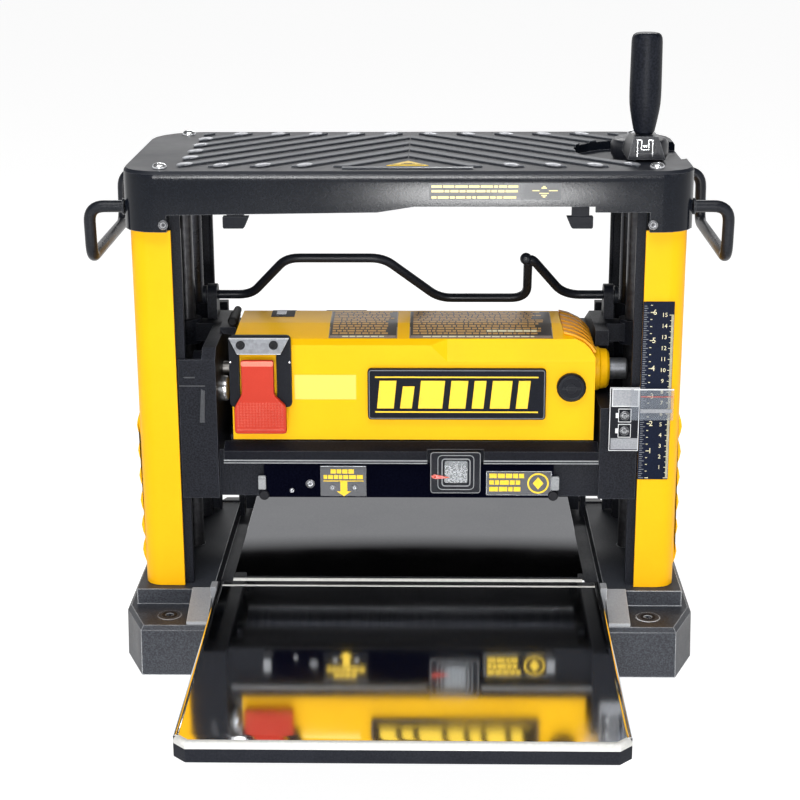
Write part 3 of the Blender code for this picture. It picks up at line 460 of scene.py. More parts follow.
label_back = surface(
    "label_back", (0.014, 0.010, 0.008), (0.034, 0.024, 0.018), (0.38, 0.48), grain_bump=0.05)
label_edge = surface("label_edge", (0.20, 0.15, 0.12), (0.32, 0.26, 0.21), (0.40, 0.50), grain_bump=0.05)
film = surface("cover_label", (0.045, 0.048, 0.054), (0.085, 0.088, 0.095), (0.24, 0.34), grain_bump=0.03)
dial_dark = surface(
    "dial_dark", (0.030, 0.036, 0.042), (0.060, 0.068, 0.078), (0.36, 0.46), grain_bump=0.04)
rim_grey = surface("rim_grey", (0.20, 0.21, 0.22), (0.34, 0.35, 0.36), (0.32, 0.44), grain_bump=0.10)
wing_grey = surface(
    "wing_grey", (0.018, 0.020, 0.025), (0.045, 0.050, 0.058), (0.36, 0.48), grain=700.0, grain_bump=0.3)
screw_dark = surface(
    "screw_dark", (0.030, 0.031, 0.034), (0.075, 0.077, 0.084), (0.26, 0.38), 0.6, grain=400.0,
    grain_bump=0.12, edge_highlight=(0.65, 0.66, 0.68), edge_highlight_share=0.9)
plate_grey = surface(
    "pointer_grey", (0.20, 0.21, 0.23), (0.34, 0.35, 0.37), (0.30, 0.42), grain=700.0, grain_bump=0.10,
    coat=0.2)
outline_white = surface(
    "pointer_edge", (0.66, 0.67, 0.68), (0.80, 0.81, 0.82), (0.30, 0.40), grain_bump=0.04)
window = clear("clear_window", (0.80, 0.84, 0.86), 0.16)
lens = clear("lens_clear", (0.30, 0.34, 0.40), 0.22)

# ---- CAD nodes that show as they are
dress("base_casting", base_powder, 0.0009)
dress("inner_frame_left inner_frame_right", satin, 0.0007)
dress("head_casting belt_cover chip_chute", satin, 0.0009)
dress("front_apron", apron_black)
dress("top_cover", gloss, 0.0008, 2, 25)
dress("crank_arm", crank_black, 0.0009)
dress("table_catch_left table_catch_right pointer_bracket gauge_frame switch_plate", plastic)
dress("side_panel_left side_panel_right", panel_yellow, 0.0009)
dress("motor_cover", yellow, 0.0022, 4, 9)
dress("motor_end_cap", yellow, 0.0008)
dress("infeed_table outfeed_table", mirror, merge=False)
dress("bed_plate", bed, 0.0004)
for end in ("front_left", "front_right", "rear_left", "rear_right"):
    dress(f"guide_post_{end}", post_dark, 0.0004)
dress("grip_pin", steel, 0.0003)
dress("hinge_bracket_front_left hinge_bracket_front_right", pad_grey)
dress("hinge_bracket_rear_left hinge_bracket_rear_right", satin)
dress("switch_bracket", zinc, 0.0004)
dress("front_lip", lip_grey, 0.0004)
dress("motor_bearing_cap", zinc)
dress("elevation_screw_left elevation_screw_right", oiled, 0.0003)
dress("lift_sprocket_left lift_sprocket_right lift_chain", oiled, 0.0003)
dress("cutterhead cutter_pulley", blued, 0.0003)
dress("planer_knife_a planer_knife_b", steel, 0.0002)
dress("infeed_roller outfeed_roller drive_belt cable_gland", rubber, 0.0005)
dress("motor_armature", iron, 0.0003)
dress("motor_stator", copper)
dress("depth_scale", navy, 0.0002)
dress("name_plate", sign, 0.0008)
dress("brush_cap", plastic, 0.0005)
dress("gauge_window", window, 0.0002)
dress("pointer_lens", lens, 0.0003)
dress("gauge_pointer", red, 0.0003)

# ---- crank and handles
grip_x, grip_y, arm_top = JOINT["crank_grip_spin"]
grip = bmesh.new()
grip_profile = [(arm_top + 0.0004, 0.0074), (arm_top + 0.0020, 0.0082), (0.4700, 0.0090), (0.4760, 0.0103),
                (0.4820, 0.0115), (0.4880, 0.0126), (0.4940, 0.0134), (0.5000, 0.01372), (0.5080, 0.0138),
                (0.5300, 0.0136), (0.5470, 0.0134), (0.5505, 0.0131), (0.5530, 0.0121), (0.5545, 0.0103),
                (0.5550, 0.0080), (0.5548, 0.0030)]
lathe(grip, grip_profile, (grip_x, grip_y), sides=48)
make("grip_body", grip, grip_black, "crank_grip", replaces=["crank_grip"])

HANDLE_IN, HANDLE_OUT, HANDLE_LEG, HANDLE_TOP, HANDLE_LOW = 0.2468, 0.27825, 0.087, 0.410, 0.3632
HANDLE_R, COLLAR_R = 0.00525, 0.0072

for s, side in ((-1, "left"), (1, "right")):
    handle = bmesh.new()
    half = [(HANDLE_OUT, HANDLE_LEG - 0.004, HANDLE_LOW), (HANDLE_OUT, HANDLE_LEG, HANDLE_TOP),
            (HANDLE_IN, HANDLE_LEG, HANDLE_TOP)]
    corners = [(s * x, -y, z) for x, y, z in half[::-1]] + [(s * x, y, z) for x, y, z in half]
    tube(handle, bend(corners, 0.014, 8), HANDLE_R, 24)
    collar = [(s * (HANDLE_IN - 0.0001), COLLAR_R), (s * 0.2480, COLLAR_R), (s * 0.2486, COLLAR_R - 0.0006),
              (s * 0.2486, HANDLE_R + 0.00015)]
    for t in (-1, 1):
        lathe(handle, collar, (t * HANDLE_LEG, HANDLE_TOP), "X", 24)
    make(f"handle_bar_{side}", handle, rod_black, "frame", replaces=[f"carry_handle_{side}"])


# ---- small parts and print
# Heights of the print over the face of a label.
INK = (0.0002, 0.0004)


def upright(y):
    """Places (across, up, out) on an upright plane that faces the operator."""
    return lambda u, v, h: (u, y - h, v)


def level(z):
    """Places (across, back, up) on a level plane."""
    return lambda u, v, h: (u, v, z + h)


def along_top(profile):
    """Places (across, distance along the profile, out) on a surface that follows a profile of (y, z)."""
    lengths = [0.0]
    for (y0, z0), (y1, z1) in zip(profile, profile[1:]):
        lengths.append(lengths[-1] + math.hypot(y1 - y0, z1 - z0))

    def spot(u, v, h):
        for i in range(len(profile) - 1):
            if v <= lengths[i + 1] or i == len(profile) - 2:
                (y0, z0), (y1, z1) = profile[i], profile[i + 1]
                span = lengths[i + 1] - lengths[i]
                t = (v - lengths[i]) / span
                across, rise = (y1 - y0) / span, (z1 - z0) / span
                return (u, y0 + (y1 - y0) * t - rise * h, z0 + (z1 - z0) * t + across * h)
    return spot


def slab(mesh, spot, u, v, h, slot=0, steps=1):
    """Thin block on a placed surface."""
    loops = []
    for i in range(steps + 1):
        at = v[0] + (v[1] - v[0]) * i / steps
        loops.append([spot(a, at, b) for a, b in ((u[0], h[0]), (u[1], h[0]), (u[1], h[1]), (u[0], h[1]))])
    return loft(mesh, loops, slot=slot)


def border(mesh, spot, u, v, width, h, slot=0):
    """Four strips round a rectangle."""
    slab(mesh, spot, u, (v[0], v[0] + width), h, slot)
    slab(mesh, spot, u, (v[1] - width, v[1]), h, slot)
    slab(mesh, spot, (u[0], u[0] + width), (v[0] + width, v[1] - width), h, slot, 4)
    slab(mesh, spot, (u[1] - width, u[1]), (v[0] + width, v[1] - width), h, slot, 4)


def print_rows(mesh, spot, u, rows, height, word, gap, h, slot, seed):
    """Rows of plain bars, as lines of print that say nothing.  word is the range of a bar's length."""
    dice = random.Random(seed)
    for row in rows:
        at = u[0]
        end = u[1] - dice.random() * (u[1] - u[0]) * 0.12
        while at < end - word[0]:
            long = min(word[0] + dice.random() * (word[1] - word[0]), end - at)
            slab(mesh, spot, (at, at + long), (row, row + height), h, slot)
            at += long + gap


def round_head(mesh, spot, u, v, radius, height, rows, sides=20):
    """Round body on a placed surface; its rows are shares of the radius and of the height."""
    return loft(mesh, [[spot(a, b, height * rise) for a, b in ring((u, v), radius * wide, sides)]
                       for wide, rise in rows])


def dome(mesh, spot, u, v, radius, height, sides=20):
    """Round-headed screw or cap."""
    rows = ((1.0, 0.0), (1.0, 0.25), (0.92, 0.55), (0.72, 0.82), (0.40, 0.96), (0.08, 1.0))
    return round_head(mesh, spot, u, v, radius, height, rows, sides)


def socket_screw(mesh, spot, u, v, radius, height):
    """Cheese-head screw with a round socket."""
    rows = ((1.0, 0.0), (1.0, 0.75), (0.88, 1.0), (0.52, 1.0), (0.48, 0.35), (0.05, 0.30))
    return round_head(mesh, spot, u, v, radius, height, rows)


def number(mesh, text, x, y, z, size):
    """Figure in an upright plane, centred on (x, z)."""
    curve = bpy.data.curves.new("figure", "FONT")
    curve.body = text
    curve.size = size
    curve.extrude = 0.00012
    curve.resolution_u = 2
    curve.align_x = "CENTER"
    curve.align_y = "CENTER"
    holder = bpy.data.objects.new("figure", curve)
    bpy.context.scene.collection.objects.link(holder)
    flat = bpy.data.meshes.new_from_object(holder.evaluated_get(bpy.context.evaluated_depsgraph_get()))
    flat.transform(Matrix.Translation((x, y, z)) @ Matrix.Rotation(math.pi / 2, 4, "X"))
    mesh.from_mesh(flat)
    bpy.data.objects.remove(holder)
    bpy.data.curves.remove(curve)
    bpy.data.meshes.remove(flat)


# ---- cover
top = level(COVER_TOP)
fittings = bmesh.new()
for x in (-0.2135, 0.2135):
    for y in (-0.0955, 0.0955):
        dome(fittings, top, x, y, 0.0064, 0.0046)
make("cover_screws", fittings, bright, "frame")
fittings = bmesh.new()
for x in (-0.2092, 0.2092):
    socket_screw(fittings, upright(COVER_FRONT), x, 0.3994, 0.0042, 0.0020)
make("cover_skirt_screws", fittings, screw_dark, "frame")

caps = bmesh.new()
DIAGONAL = 0.7071
RIB_PITCH, RIB_X, RIB_Y, RIB_CAP_LONG, RIB_CAP_WIDE = 0.036, 0.193, 0.089, 0.0085, 0.0050
DISH_X, DISH_CLEAR = 0.2085, 0.067
ends = [(RIB_X, RIB_PITCH * k - RIB_X) for k in range(3, 8)]
ends += [(RIB_PITCH * k + RIB_Y, -RIB_Y) for k in range(0, 3)]
ends += [(RIB_PITCH * k - RIB_Y, RIB_Y) for k in range(3, 8)]
for s in (-1, 1):
    for x, y in ends:
        if s > 0 and math.hypot(x - DISH_X, y) < DISH_CLEAR:
            continue
        loops = []
        for share, h in ((1.0, 0.0012), (0.96, 0.0021), (0.70, 0.0027), (0.10, 0.0030)):
            oval = [(RIB_CAP_LONG * a, RIB_CAP_WIDE * b) for a, b in ring((0, 0), share * DIAGONAL, 16)]
            loops.append([(s * (x + long - wide), y - long - wide, COVER_TOP + h) for long, wide in oval])
        loft(caps, loops)
# The rib end caps take the painted highlight colour.
make("rib_ends", caps, rib_end_highlight, "frame")

cover_print = bmesh.new()
face = upright(COVER_FRONT)
slab(cover_print, face, (0.0185, 0.1305), (0.4212, 0.4352), (0.0, 0.0002), 0)
print_rows(cover_print, face, (0.0205, 0.1000), (0.4315, 0.4275, 0.4222), 0.0019, (0.003, 0.011), 0.0010,
           INK, 1, 5)
for u0, u1, v in ((0.1060, 0.1120, 0.4285), (0.1120, 0.1200, 0.4262), (0.1200, 0.1275, 0.4285)):
    slab(cover_print, face, (u0, u1), (v, v + 0.0008), INK, 1)
for v, w in ((0.4318, 0.0011), (0.4306, 0.0023), (0.4243, 0.0023), (0.4231, 0.0011)):
    slab(cover_print, face, (0.1160 - w, 0.1160 + w), (v, v + 0.0010), INK, 1)
make("cover_front_label", cover_print, [film, pale], "frame")

warn = bmesh.new()
for left, right, low, high, h, slot in ((-0.0185, 0.0178, -0.0865, -0.0620, (0.0001, 0.0006), 0),
                                        (-0.0150, 0.0143, -0.0850, -0.0655, (0.0006, 0.0008), 1),
                                        (-0.0125, 0.0118, -0.0840, -0.0680, (0.0008, 0.0010), 0)):
    prism(warn, [(left, low), (right, low), (0.0, high)], COVER_TOP + h[0], COVER_TOP + h[1], slot=slot)
slab(warn, top, (-0.0060, 0.0060), (-0.0820, -0.0805), (0.0010, 0.0012), 1)
slab(warn, top, (-0.0035, 0.0035), (-0.0785, -0.0770), (0.0010, 0.0012), 1)
make("cover_top_sign", warn, [ink_yellow, label_back], "frame")

# ---- crank notch
notch = bmesh.new()
arm_front = upright(CRANK_FRONT)
# Bright strips along the notch's edges on the black crank arm: painted highlights.
for u0, u1, v0, v1 in ((0.1985, 0.1992, 0.4500, 0.4650), (0.2116, 0.2123, 0.4500, 0.4650),
                       (0.1992, 0.2020, 0.4643, 0.4650), (0.2088, 0.2116, 0.4643, 0.4650),
                       (0.2020, 0.2026, 0.4560, 0.4650), (0.2082, 0.2088, 0.4560, 0.4650),
                       (0.2026, 0.2082, 0.4560, 0.4566)):
    slab(notch, arm_front, (u0, u1), (v0, v1), (0.0, 0.0005))
slab(notch, arm_front, (0.2035, 0.2073), (0.4585, 0.4600), (0.0, 0.0007))
make("crank_notch_edge_highlights", notch, bright, "crank")

# ---- lock bar
bar_y, bar_z = JOINT["head_lock"].y, JOINT["head_lock"].z
low_at, high_at = (bar_y, bar_z), (bar_y - 0.035, bar_z + 0.0427)
middle_at, peak_at = (bar_y - 0.004, bar_z - 0.0022), (bar_y - 0.0385, bar_z + 0.0470)
bar = bmesh.new()
first = bend([(-0.1956, *low_at), (-0.1498, *low_at), (-0.1129, *high_at), (-0.0239, *high_at),
              (0.0273, *middle_at), (0.0700, *middle_at)], 0.012, 6)
last = bend([(0.0700, *middle_at), (0.1098, *middle_at), (0.1086, *peak_at), (0.1445, *low_at),
             (0.1956, *low_at)], 0.016, 8)
tube(bar, first[:-1] + last[1:], 0.0042, 20)
for s in (-1, 1):
    cam = [(s * 0.1915, 0.0040), (s * 0.1915, 0.0080), (s * 0.1920, 0.0085), (s * 0.1950, 0.0085),
           (s * 0.1955, 0.0080), (s * 0.1955, 0.0040)]
    lathe(bar, cam, (bar_y, bar_z), "X", 24)
make("lock_bar_rod", bar, rod_black, "lock_bar", replaces=["lock_bar"])
tip = bmesh.new()
TIP_R, TIP_LONG, TIP_STEPS = 0.0056, 0.0062, 8
turns = [math.pi * i / TIP_STEPS for i in range(1, TIP_STEPS)]
lathe(tip, [(bar_y - 0.0345 - TIP_LONG * math.cos(a), TIP_R * math.sin(a)) for a in turns],
      (0.1068, bar_z + 0.0420), "Y", 16)
make("lock_bar_tip", tip, rod_black, "lock_bar")

# ---- motor cover print and vents
TOP_PROFILE = [(-0.0860, 0.2905), (-0.0560, 0.2975), (-0.0200, 0.2995), (-0.0010, 0.2950)]
crown = along_top(TOP_PROFILE)
labels = bmesh.new()
for u, seed in (((-0.0710, -0.0100), 11), ((0.0010, 0.1285), 12)):
    slab(labels, crown, u, (0.0010, 0.0640), (0.0, 0.0003), 0, 16)
    border(labels, crown, u, (0.0010, 0.0640), 0.0008, (0.0003, 0.0004), 1)
    slab(labels, crown, (u[0] + 0.0012, u[1] - 0.0012), (0.0022, 0.0058), (0.0003, 0.0004), 1)
    rows = [0.0085 + 0.0047 * k for k in range(12)]
    print_rows(labels, crown, (u[0] + 0.003, u[1] - 0.003), rows, 0.0029, (0.0025, 0.0075), 0.0011,
               (0.0003, 0.00045), 2, seed)
    print_rows(labels, crown, (u[0] + 0.012, u[1] - 0.010), [0.0028], 0.0021, (0.003, 0.008), 0.0012,
               (0.0004, 0.0005), 3, seed + 5)
print_rows(labels, crown, (0.0700, 0.1200), [0.0132], 0.0029, (0.003, 0.008), 0.0010,
           (0.0003, 0.0006), 3, 41)
make("motor_top_labels", labels, [label_back, label_edge, ink_tan, ink_cream], "head")

recess_shade = bmesh.new()
# Dark slabs standing for recesses in the motor top: painted shade.
slab(recess_shade, crown, (-0.1262, -0.1049), (0.0480, 0.0800), (0.0, 0.0004), 0, 8)
slab(recess_shade, crown, (-0.1215, -0.1130), (0.0540, 0.0680), (0.0004, 0.0009), 1, 4)
slab(recess_shade, crown, (-0.0770, -0.0400), (0.0765, 0.0805), (0.0, 0.0005), 0, 3)
make("motor_top_slot_shade", recess_shade, [deep, zinc], "head")

patch = bmesh.new()
slab(patch, upright(MOTOR_FRONT), (-0.1018, -0.0466), (0.2362, 0.2590), (0.0, 0.0003))
make("motor_front_patch", patch, patch_yellow, "head", 0.0001)

vents = bmesh.new()
shoulder = [(0.1385, 0.2935), (0.1470, 0.2915), (0.1560, 0.2870), (0.1620, 0.2815), (0.1655, 0.2757)]
outer = [(x + d * 0.0006, z + 0.0021 - d * 0.0002) for d, (x, z) in enumerate(shoulder)]
VENT_START, VENT_PITCH, VENT_WIDE = -0.0800, 0.0148, 0.0086
for k in range(6):
    y = VENT_START + VENT_PITCH * k
    prism(vents, shoulder + outer[::-1], y, y + VENT_WIDE, "Y")
make("motor_vents", vents, orange, "head", 0.0006)

# ---- name plate and brush cap
plate = bmesh.new()
panel = upright(PLATE_FRONT)
framed(plate, (-0.0352, 0.1213), (0.2197, 0.2649), 0.0008, -0.0979, -0.0974, 0.0022, 1)
slab(plate, panel, (-0.0295, 0.1155), (0.2578, 0.2591), (0.0, 0.0006))
slab(plate, panel, (-0.0295, 0.1155), (0.2255, 0.2268), (0.0, 0.0006))
BAR_LOW, BAR_HIGH, BAR_LEAN, BAR_GAP = 0.2295, 0.2552, 0.0026, 0.0056
at = -0.0280
for wide, drop in ((0.0150, 0.0), (0.0105, 0.0052), (0.0215, 0.0), (0.0150, 0.0), (0.0105, 0.0),
                   (0.0175, 0.0), (0.0105, 0.0)):
    prism(plate, [(at, BAR_LOW), (at + wide, BAR_LOW), (at + wide + BAR_LEAN, BAR_HIGH - drop),
                  (at + BAR_LEAN, BAR_HIGH - drop)], PLATE_FRONT - 0.0008, PLATE_FRONT + 0.0001, "Y")
    at += wide + BAR_GAP
make("name_plate_bars", plate, [ink_yellow, rule_grey], "head", 0.0002)

cap_face = bmesh.new()
cap_x, cap_z = 0.1449, 0.2485
lathe(cap_face, [(-0.0984, 0.0116), (-0.0991, 0.0112), (-0.0991, 0.0096), (-0.0982, 0.0090),
                 (-0.0982, 0.0050), (-0.0994, 0.0044), (-0.0994, 0.0010)], (cap_x, cap_z), "Y")
slab(cap_face, upright(BRUSH_CAP_FRONT), (cap_x - 0.0080, cap_x + 0.0080), (cap_z - 0.0010, cap_z + 0.0010),
     (0.0, 0.0006))
make("brush_cap_face", cap_face, plastic, "head", 0.0002)

# ---- switch
def paddle_outline(k):
    """Outline of the paddle, drawn in by k: a narrow stem on a wide thumb plate."""
    return [(-0.1190 - k, 0.2738 - k), (-0.1190 - k, 0.2452 + k * 0.2), (-0.1179 - k, 0.2420),
            (-0.1098 - k, 0.2338), (-0.1085 - k, 0.2305), (-0.1085 - k, 0.2098), (-0.1092 - k, 0.2078 + k),
            (-0.1112 - k, 0.2070 + k), (-0.1523 + k, 0.2070 + k), (-0.1543 + k, 0.2078 + k),
            (-0.1550 + k, 0.2098), (-0.1550 + k, 0.2305), (-0.1537 + k, 0.2338), (-0.1490 + k, 0.2420),
            (-0.1480 + k, 0.2452), (-0.1480 + k, 0.2738 - k), (-0.1468 + k, 0.2750 - k),
            (-0.1202 - k, 0.2750 - k)]


paddle = bmesh.new()
steps = ((-0.0995, 0.0004), (-0.0999, 0.0), (-0.1030, 0.0), (-0.1042, 0.0006), (-0.1047, 0.0018))
loft(paddle, [[placed(a, b, y, "Y") for a, b in paddle_outline(k)] for y, k in steps])
pad = upright(PADDLE_FRONT)
slab(paddle, pad, (-0.1525, -0.1110), (0.2108, 0.2118), (0.0, 0.0008))
for i in range(15):
    for j in range(9):
        u, v = -0.1515 + 0.0028 * i, 0.2148 + 0.0026 * j
        if v < 0.2335 or -0.1500 < u < -0.1140:
            dome(paddle, pad, u, v, 0.0008, 0.0006, sides=6)
make("switch_paddle_face", paddle, red, "switch_paddle", 0.0004, replaces=["switch_paddle"])
lip = bmesh.new()
prism(lip, rounded(-0.1478, -0.1192, 0.2700, 0.2748, 0.0016, 3), -0.1052, -0.1044, "Y")
make("switch_paddle_lip", lip, red_light, "switch_paddle", 0.0005, 3)

screws = bmesh.new()
for x in (-0.1479, -0.1187):
    socket_screw(screws, upright(SWITCH_BRACKET_FRONT), x, 0.2887, 0.0040, 0.0016)
make("switch_screws", screws, deep, "head")
pins = bmesh.new()
for x in (-0.1577, -0.1052):
    dome(pins, upright(SWITCH_PLATE_FRONT), x, 0.2720, 0.0011, 0.0006, sides=10)
# Two thin bright lines along the switch bracket: painted highlights; the domes are pins.
for u, v in (((-0.1583, -0.1050), (0.2944, 0.2950)), ((-0.1513, -0.1129), (0.2802, 0.2807))):
    slab(pins, upright(SWITCH_BRACKET_FRONT), u, v, (0.0, 0.0003))
make("switch_pins_and_edge_highlights", pins, bright, "head")

# ---- knob left of the motor, wing ledges
knob_left = bmesh.new()
lathe(knob_left, [(-0.1720, 0.0060), (-0.1715, 0.0108), (-0.1705, 0.0116), (-0.1660, 0.0116),
                  (-0.1648, 0.0108), (-0.1640, 0.0080), (-0.1636, 0.0030)], (-0.060, 0.237), "X")
make("head_side_plug", knob_left, bright, "head")
ledges = bmesh.new()
for u, v in (((-0.1987, -0.1889), (0.2592, 0.2604)), ((-0.2031, -0.1800), (0.2514, 0.2526))):
    slab(ledges, upright(WING_FRONT), u, v, (0.0, 0.0006))
prism(ledges, [(-0.1860, 0.2180), (-0.1815, 0.2180), (-0.1803, 0.2475), (-0.1838, 0.2490)],
      WING_FRONT - 0.0007, WING_FRONT + 0.0001, "Y")
make("head_wing_ledges", ledges, wing_grey, "head", 0.0002)

# ---- lip, apron and gauge
# Thin grey double lines along the front lip's edge: a painted highlight.
highlight_strips = bmesh.new()
for u in ((-0.1655, 0.0170), (0.0675, 0.1700)):
    for v in ((0.1822, 0.1834), (0.1800, 0.1809)):
        slab(highlight_strips, upright(LIP_FRONT), u, v, (0.0, 0.0004))
make("lip_edge_highlight", highlight_strips, rim_grey, "head")

pegs = bmesh.new()
for x in (-0.1320, 0.1320):
    prism(pegs, rounded(x - 0.0034, x + 0.0034, 0.1542, 0.1672, 0.0010, 2), PEG_FRONT, -0.1012, "Y")
    for z in (0.1560, 0.1640):
        slab(pegs, upright(PEG_FRONT), (x - 0.0024, x + 0.0024), (z, z + 0.0010), (0.0, 0.0006))
make("apron_pegs", pegs, rim_grey, "head", 0.0003)
stops = bmesh.new()
for x in (-0.1303, 0.1303):
    lathe(stops, [(-0.1040, 0.0020), (-0.1038, 0.0040), (-0.1030, 0.0046), (-0.0990, 0.0046),
                  (-0.0985, 0.0040)], (x, 0.1487), "Y", 20)
make("apron_stops", stops, deep, "head")

apron = upright(APRON_FRONT)
APRON_PRINT_BACK, APRON_PRINT_FRONT = APRON_FRONT - 0.0001, APRON_FRONT - 0.0005
apron_screws = bmesh.new()
for x, z, r in ((-0.0886, 0.1594, 0.0040), (-0.1052, 0.1530, 0.0022), (-0.0686, 0.1556, 0.0026),
                (-0.0487, 0.1556, 0.0026)):
    socket_screw(apron_screws, apron, x, z, r, 0.0010)
make("apron_screws", apron_screws, screw_dark, "head")

gauge_label = bmesh.new()
slab(gauge_label, apron, (-0.0794, -0.0380), (0.1475, 0.1765), (0.0, 0.0002), 0)
slab(gauge_label, apron, (-0.0794, -0.0380), (0.1757, 0.1763), (0.0002, 0.0003), 2)
print_rows(gauge_label, apron, (-0.0700, -0.0470), [0.1692], 0.0040, (0.0030, 0.0060), 0.0008, INK, 1, 3)
print_rows(gauge_label, apron, (-0.0765, -0.0400), [0.1640], 0.0038, (0.0030, 0.0065), 0.0008, INK, 1, 4)
slab(gauge_label, apron, (-0.0765, -0.0405), (0.1617, 0.1625), INK, 1)
arrow = [(-0.0614, 0.1617), (-0.0614, 0.1522), (-0.0648, 0.1522), (-0.0583, 0.1476), (-0.0518, 0.1522),
         (-0.0552, 0.1522), (-0.0552, 0.1617)]
prism(gauge_label, arrow, APRON_PRINT_FRONT, APRON_PRINT_BACK, "Y", 1)
make("removal_label", gauge_label, [sign, ink_yellow, zinc], "head")

hand_label = bmesh.new()
LABEL_U, LABEL_V = (0.0700, 0.1285), (0.1490, 0.1718)
slab(hand_label, apron, LABEL_U, LABEL_V, (0.0, 0.0002), 0)
border(hand_label, apron, LABEL_U, LABEL_V, 0.0004, (0.0002, 0.0003), 2)
for row, end, seed in ((0.1653, 0.1045, 21), (0.1590, 0.1055, 22), (0.1527, 0.1050, 23)):
    print_rows(hand_label, apron, (0.0728, end), [row], 0.0042, (0.0035, 0.0080), 0.0009, INK, 1, seed)
x, z = 0.1166, 0.1604
lathe(hand_label, [(APRON_PRINT_FRONT, 0.0097), (APRON_PRINT_FRONT, 0.0082), (APRON_PRINT_BACK, 0.0082),
                   (APRON_PRINT_BACK, 0.0097)], (x, z), "Y", 36, 1, True)
prism(hand_label, [(x - 0.0048, z), (x, z - 0.0058), (x + 0.0048, z), (x, z + 0.0058)],
      APRON_PRINT_FRONT, APRON_PRINT_BACK, "Y", 1)
make("apron_label", hand_label, [sign, ink_yellow, zinc], "head")

dial = bmesh.new()
gauge = upright(DIAL_FRONT)
slab(dial, gauge, (0.0322, 0.0533), (0.1612, 0.1828), (-0.0010, 0.0), 0)
for k in range(5):
    slab(dial, gauge, (0.0395, 0.0490), (0.1655 + 0.0032 * k, 0.1661 + 0.0032 * k), (0.0, 0.0001), 1)
framed(dial, (0.0368, 0.0512), (0.1640, 0.1812), 0.0007, -0.1038, -0.1035, 0.0010, 1)
make("gauge_dial", dial, [dial_dark, rule_grey], "head")
rim = bmesh.new()
framed(rim, (0.0199, 0.0646), (0.1524, 0.1911), 0.0005, -0.1063, -0.1058, 0.0026)
framed(rim, (0.0262, 0.0590), (0.1556, 0.1884), 0.0006, -0.1064, -0.1058, 0.0040)
framed(rim, (0.0298, 0.0557), (0.1588, 0.1852), 0.0009, -0.1066, -0.1058, 0.0030)
make("gauge_rim", rim, rim_grey, "head")
needle = bmesh.new()
prism(needle, [(0.0205, 0.1690), (0.0235, 0.1704), (0.0290, 0.1694), (0.0372, 0.1676), (0.0300, 0.1664),
               (0.0245, 0.1662), (0.0212, 0.1672)], NEEDLE_FRONT + 0.0010, NEEDLE_FRONT, "Y")
dome(needle, upright(NEEDLE_FRONT), 0.0238, 0.1683, 0.0013, 0.0006, sides=12)
make("gauge_needle", needle, red, "gauge_pointer", 0.0002, replaces=["gauge_pointer"])

# ---- rule and pointer
rule = bmesh.new()
card = upright(RULE_FRONT)
PRINT = (0.0001, 0.0003)
INCH, CENTIMETRE = 0.0254, 0.010
slab(rule, card, (0.2047, 0.2319), (0.1665, 0.3300), (0.0, 0.0001), 2)
for n in range(0, 80):
    long = (0.0044, 0.0024, 0.0034, 0.0024)[n % 4]
    z = RULE_ZERO + 0.002 * n
    slab(rule, card, (0.2056, 0.2056 + long), (z - 0.00035, z + 0.00035), PRINT, 1)
for n in range(1, 16):
    number(rule, str(n), 0.2236, RULE_FRONT - 0.0002, RULE_ZERO + CENTIMETRE * n, 0.0052)
for n in range(1, 7):
    number(rule, str(n), 0.2150, RULE_FRONT - 0.0002, RULE_ZERO + INCH * n, 0.0068)
for n in range(0, 151):
    long = 0.0040 if n % 10 == 0 else 0.0032 if n % 5 == 0 else 0.0022
    z = RULE_ZERO + CENTIMETRE / 10 * n
    slab(rule, card, (0.2316 - long, 0.2316), (z - 0.00022, z + 0.00022), PRINT, 0)
for n in range(0, 26):
    long = 0.0030 if n % 4 == 0 else 0.0016
    z = RULE_ZERO + INCH / 4 * n
    slab(rule, card, (0.2112, 0.2112 + long), (z - 0.0003, z + 0.0003), PRINT, 0)
make("rule_print", rule, [ink_cream, rule_grey, navy], "frame")

bracket = bmesh.new()
face = upright(BRACKET_FRONT)
SCREW_HEIGHTS = (0.2271, 0.2129)
slab(bracket, face, (0.1796, 0.2035), (0.2352, 0.2522), (0.0, 0.0010), 0)
slab(bracket, face, (0.1796, 0.2035), (0.1958, 0.2060), (0.0, 0.0008), 0)
border(bracket, face, (0.1780, 0.2041), (0.1942, 0.2528), 0.0006, (0.0, 0.0004), 1)
border(bracket, face, (0.1800, 0.2031), (0.2356, 0.2518), 0.0006, (0.0010, 0.0013), 1)
for z in SCREW_HEIGHTS:
    border(bracket, face, (0.1858, 0.1972), (z - 0.0062, z + 0.0062), 0.0005, (0.0, 0.0005), 1)
    slab(bracket, face, (0.1835, 0.1858), (z - 0.0022, z + 0.0022), (0.0, 0.0006), 1)
make("pointer_plates", bracket, [plate_grey, outline_white], "head")
screws = bmesh.new()
for z in SCREW_HEIGHTS:
    socket_screw(screws, face, 0.1915, z, 0.0042, 0.0016)
    slab(screws, face, (0.1882, 0.1948), (z - 0.0006, z + 0.0006), (0.0015, 0.0018))
make("pointer_screws", screws, screw_dark, "head")
hair = bmesh.new()
face = upright(LENS_FRONT)
slab(hair, face, (0.2048, 0.2335), (0.2446, 0.2451), (0.0, 0.0003), 0)
slab(hair, face, (0.1985, 0.2338), (0.2510, 0.2520), (0.0, 0.0004), 1)
slab(hair, face, (0.2048, 0.2325), (0.2300, 0.2335), (0.0, 0.0003), 2)
make("pointer_hairline", hair, [red, outline_white, plate_grey], "head")

# ---- bed and table edges
SKIN, SKIN_GAP = 0.0002, 0.00003


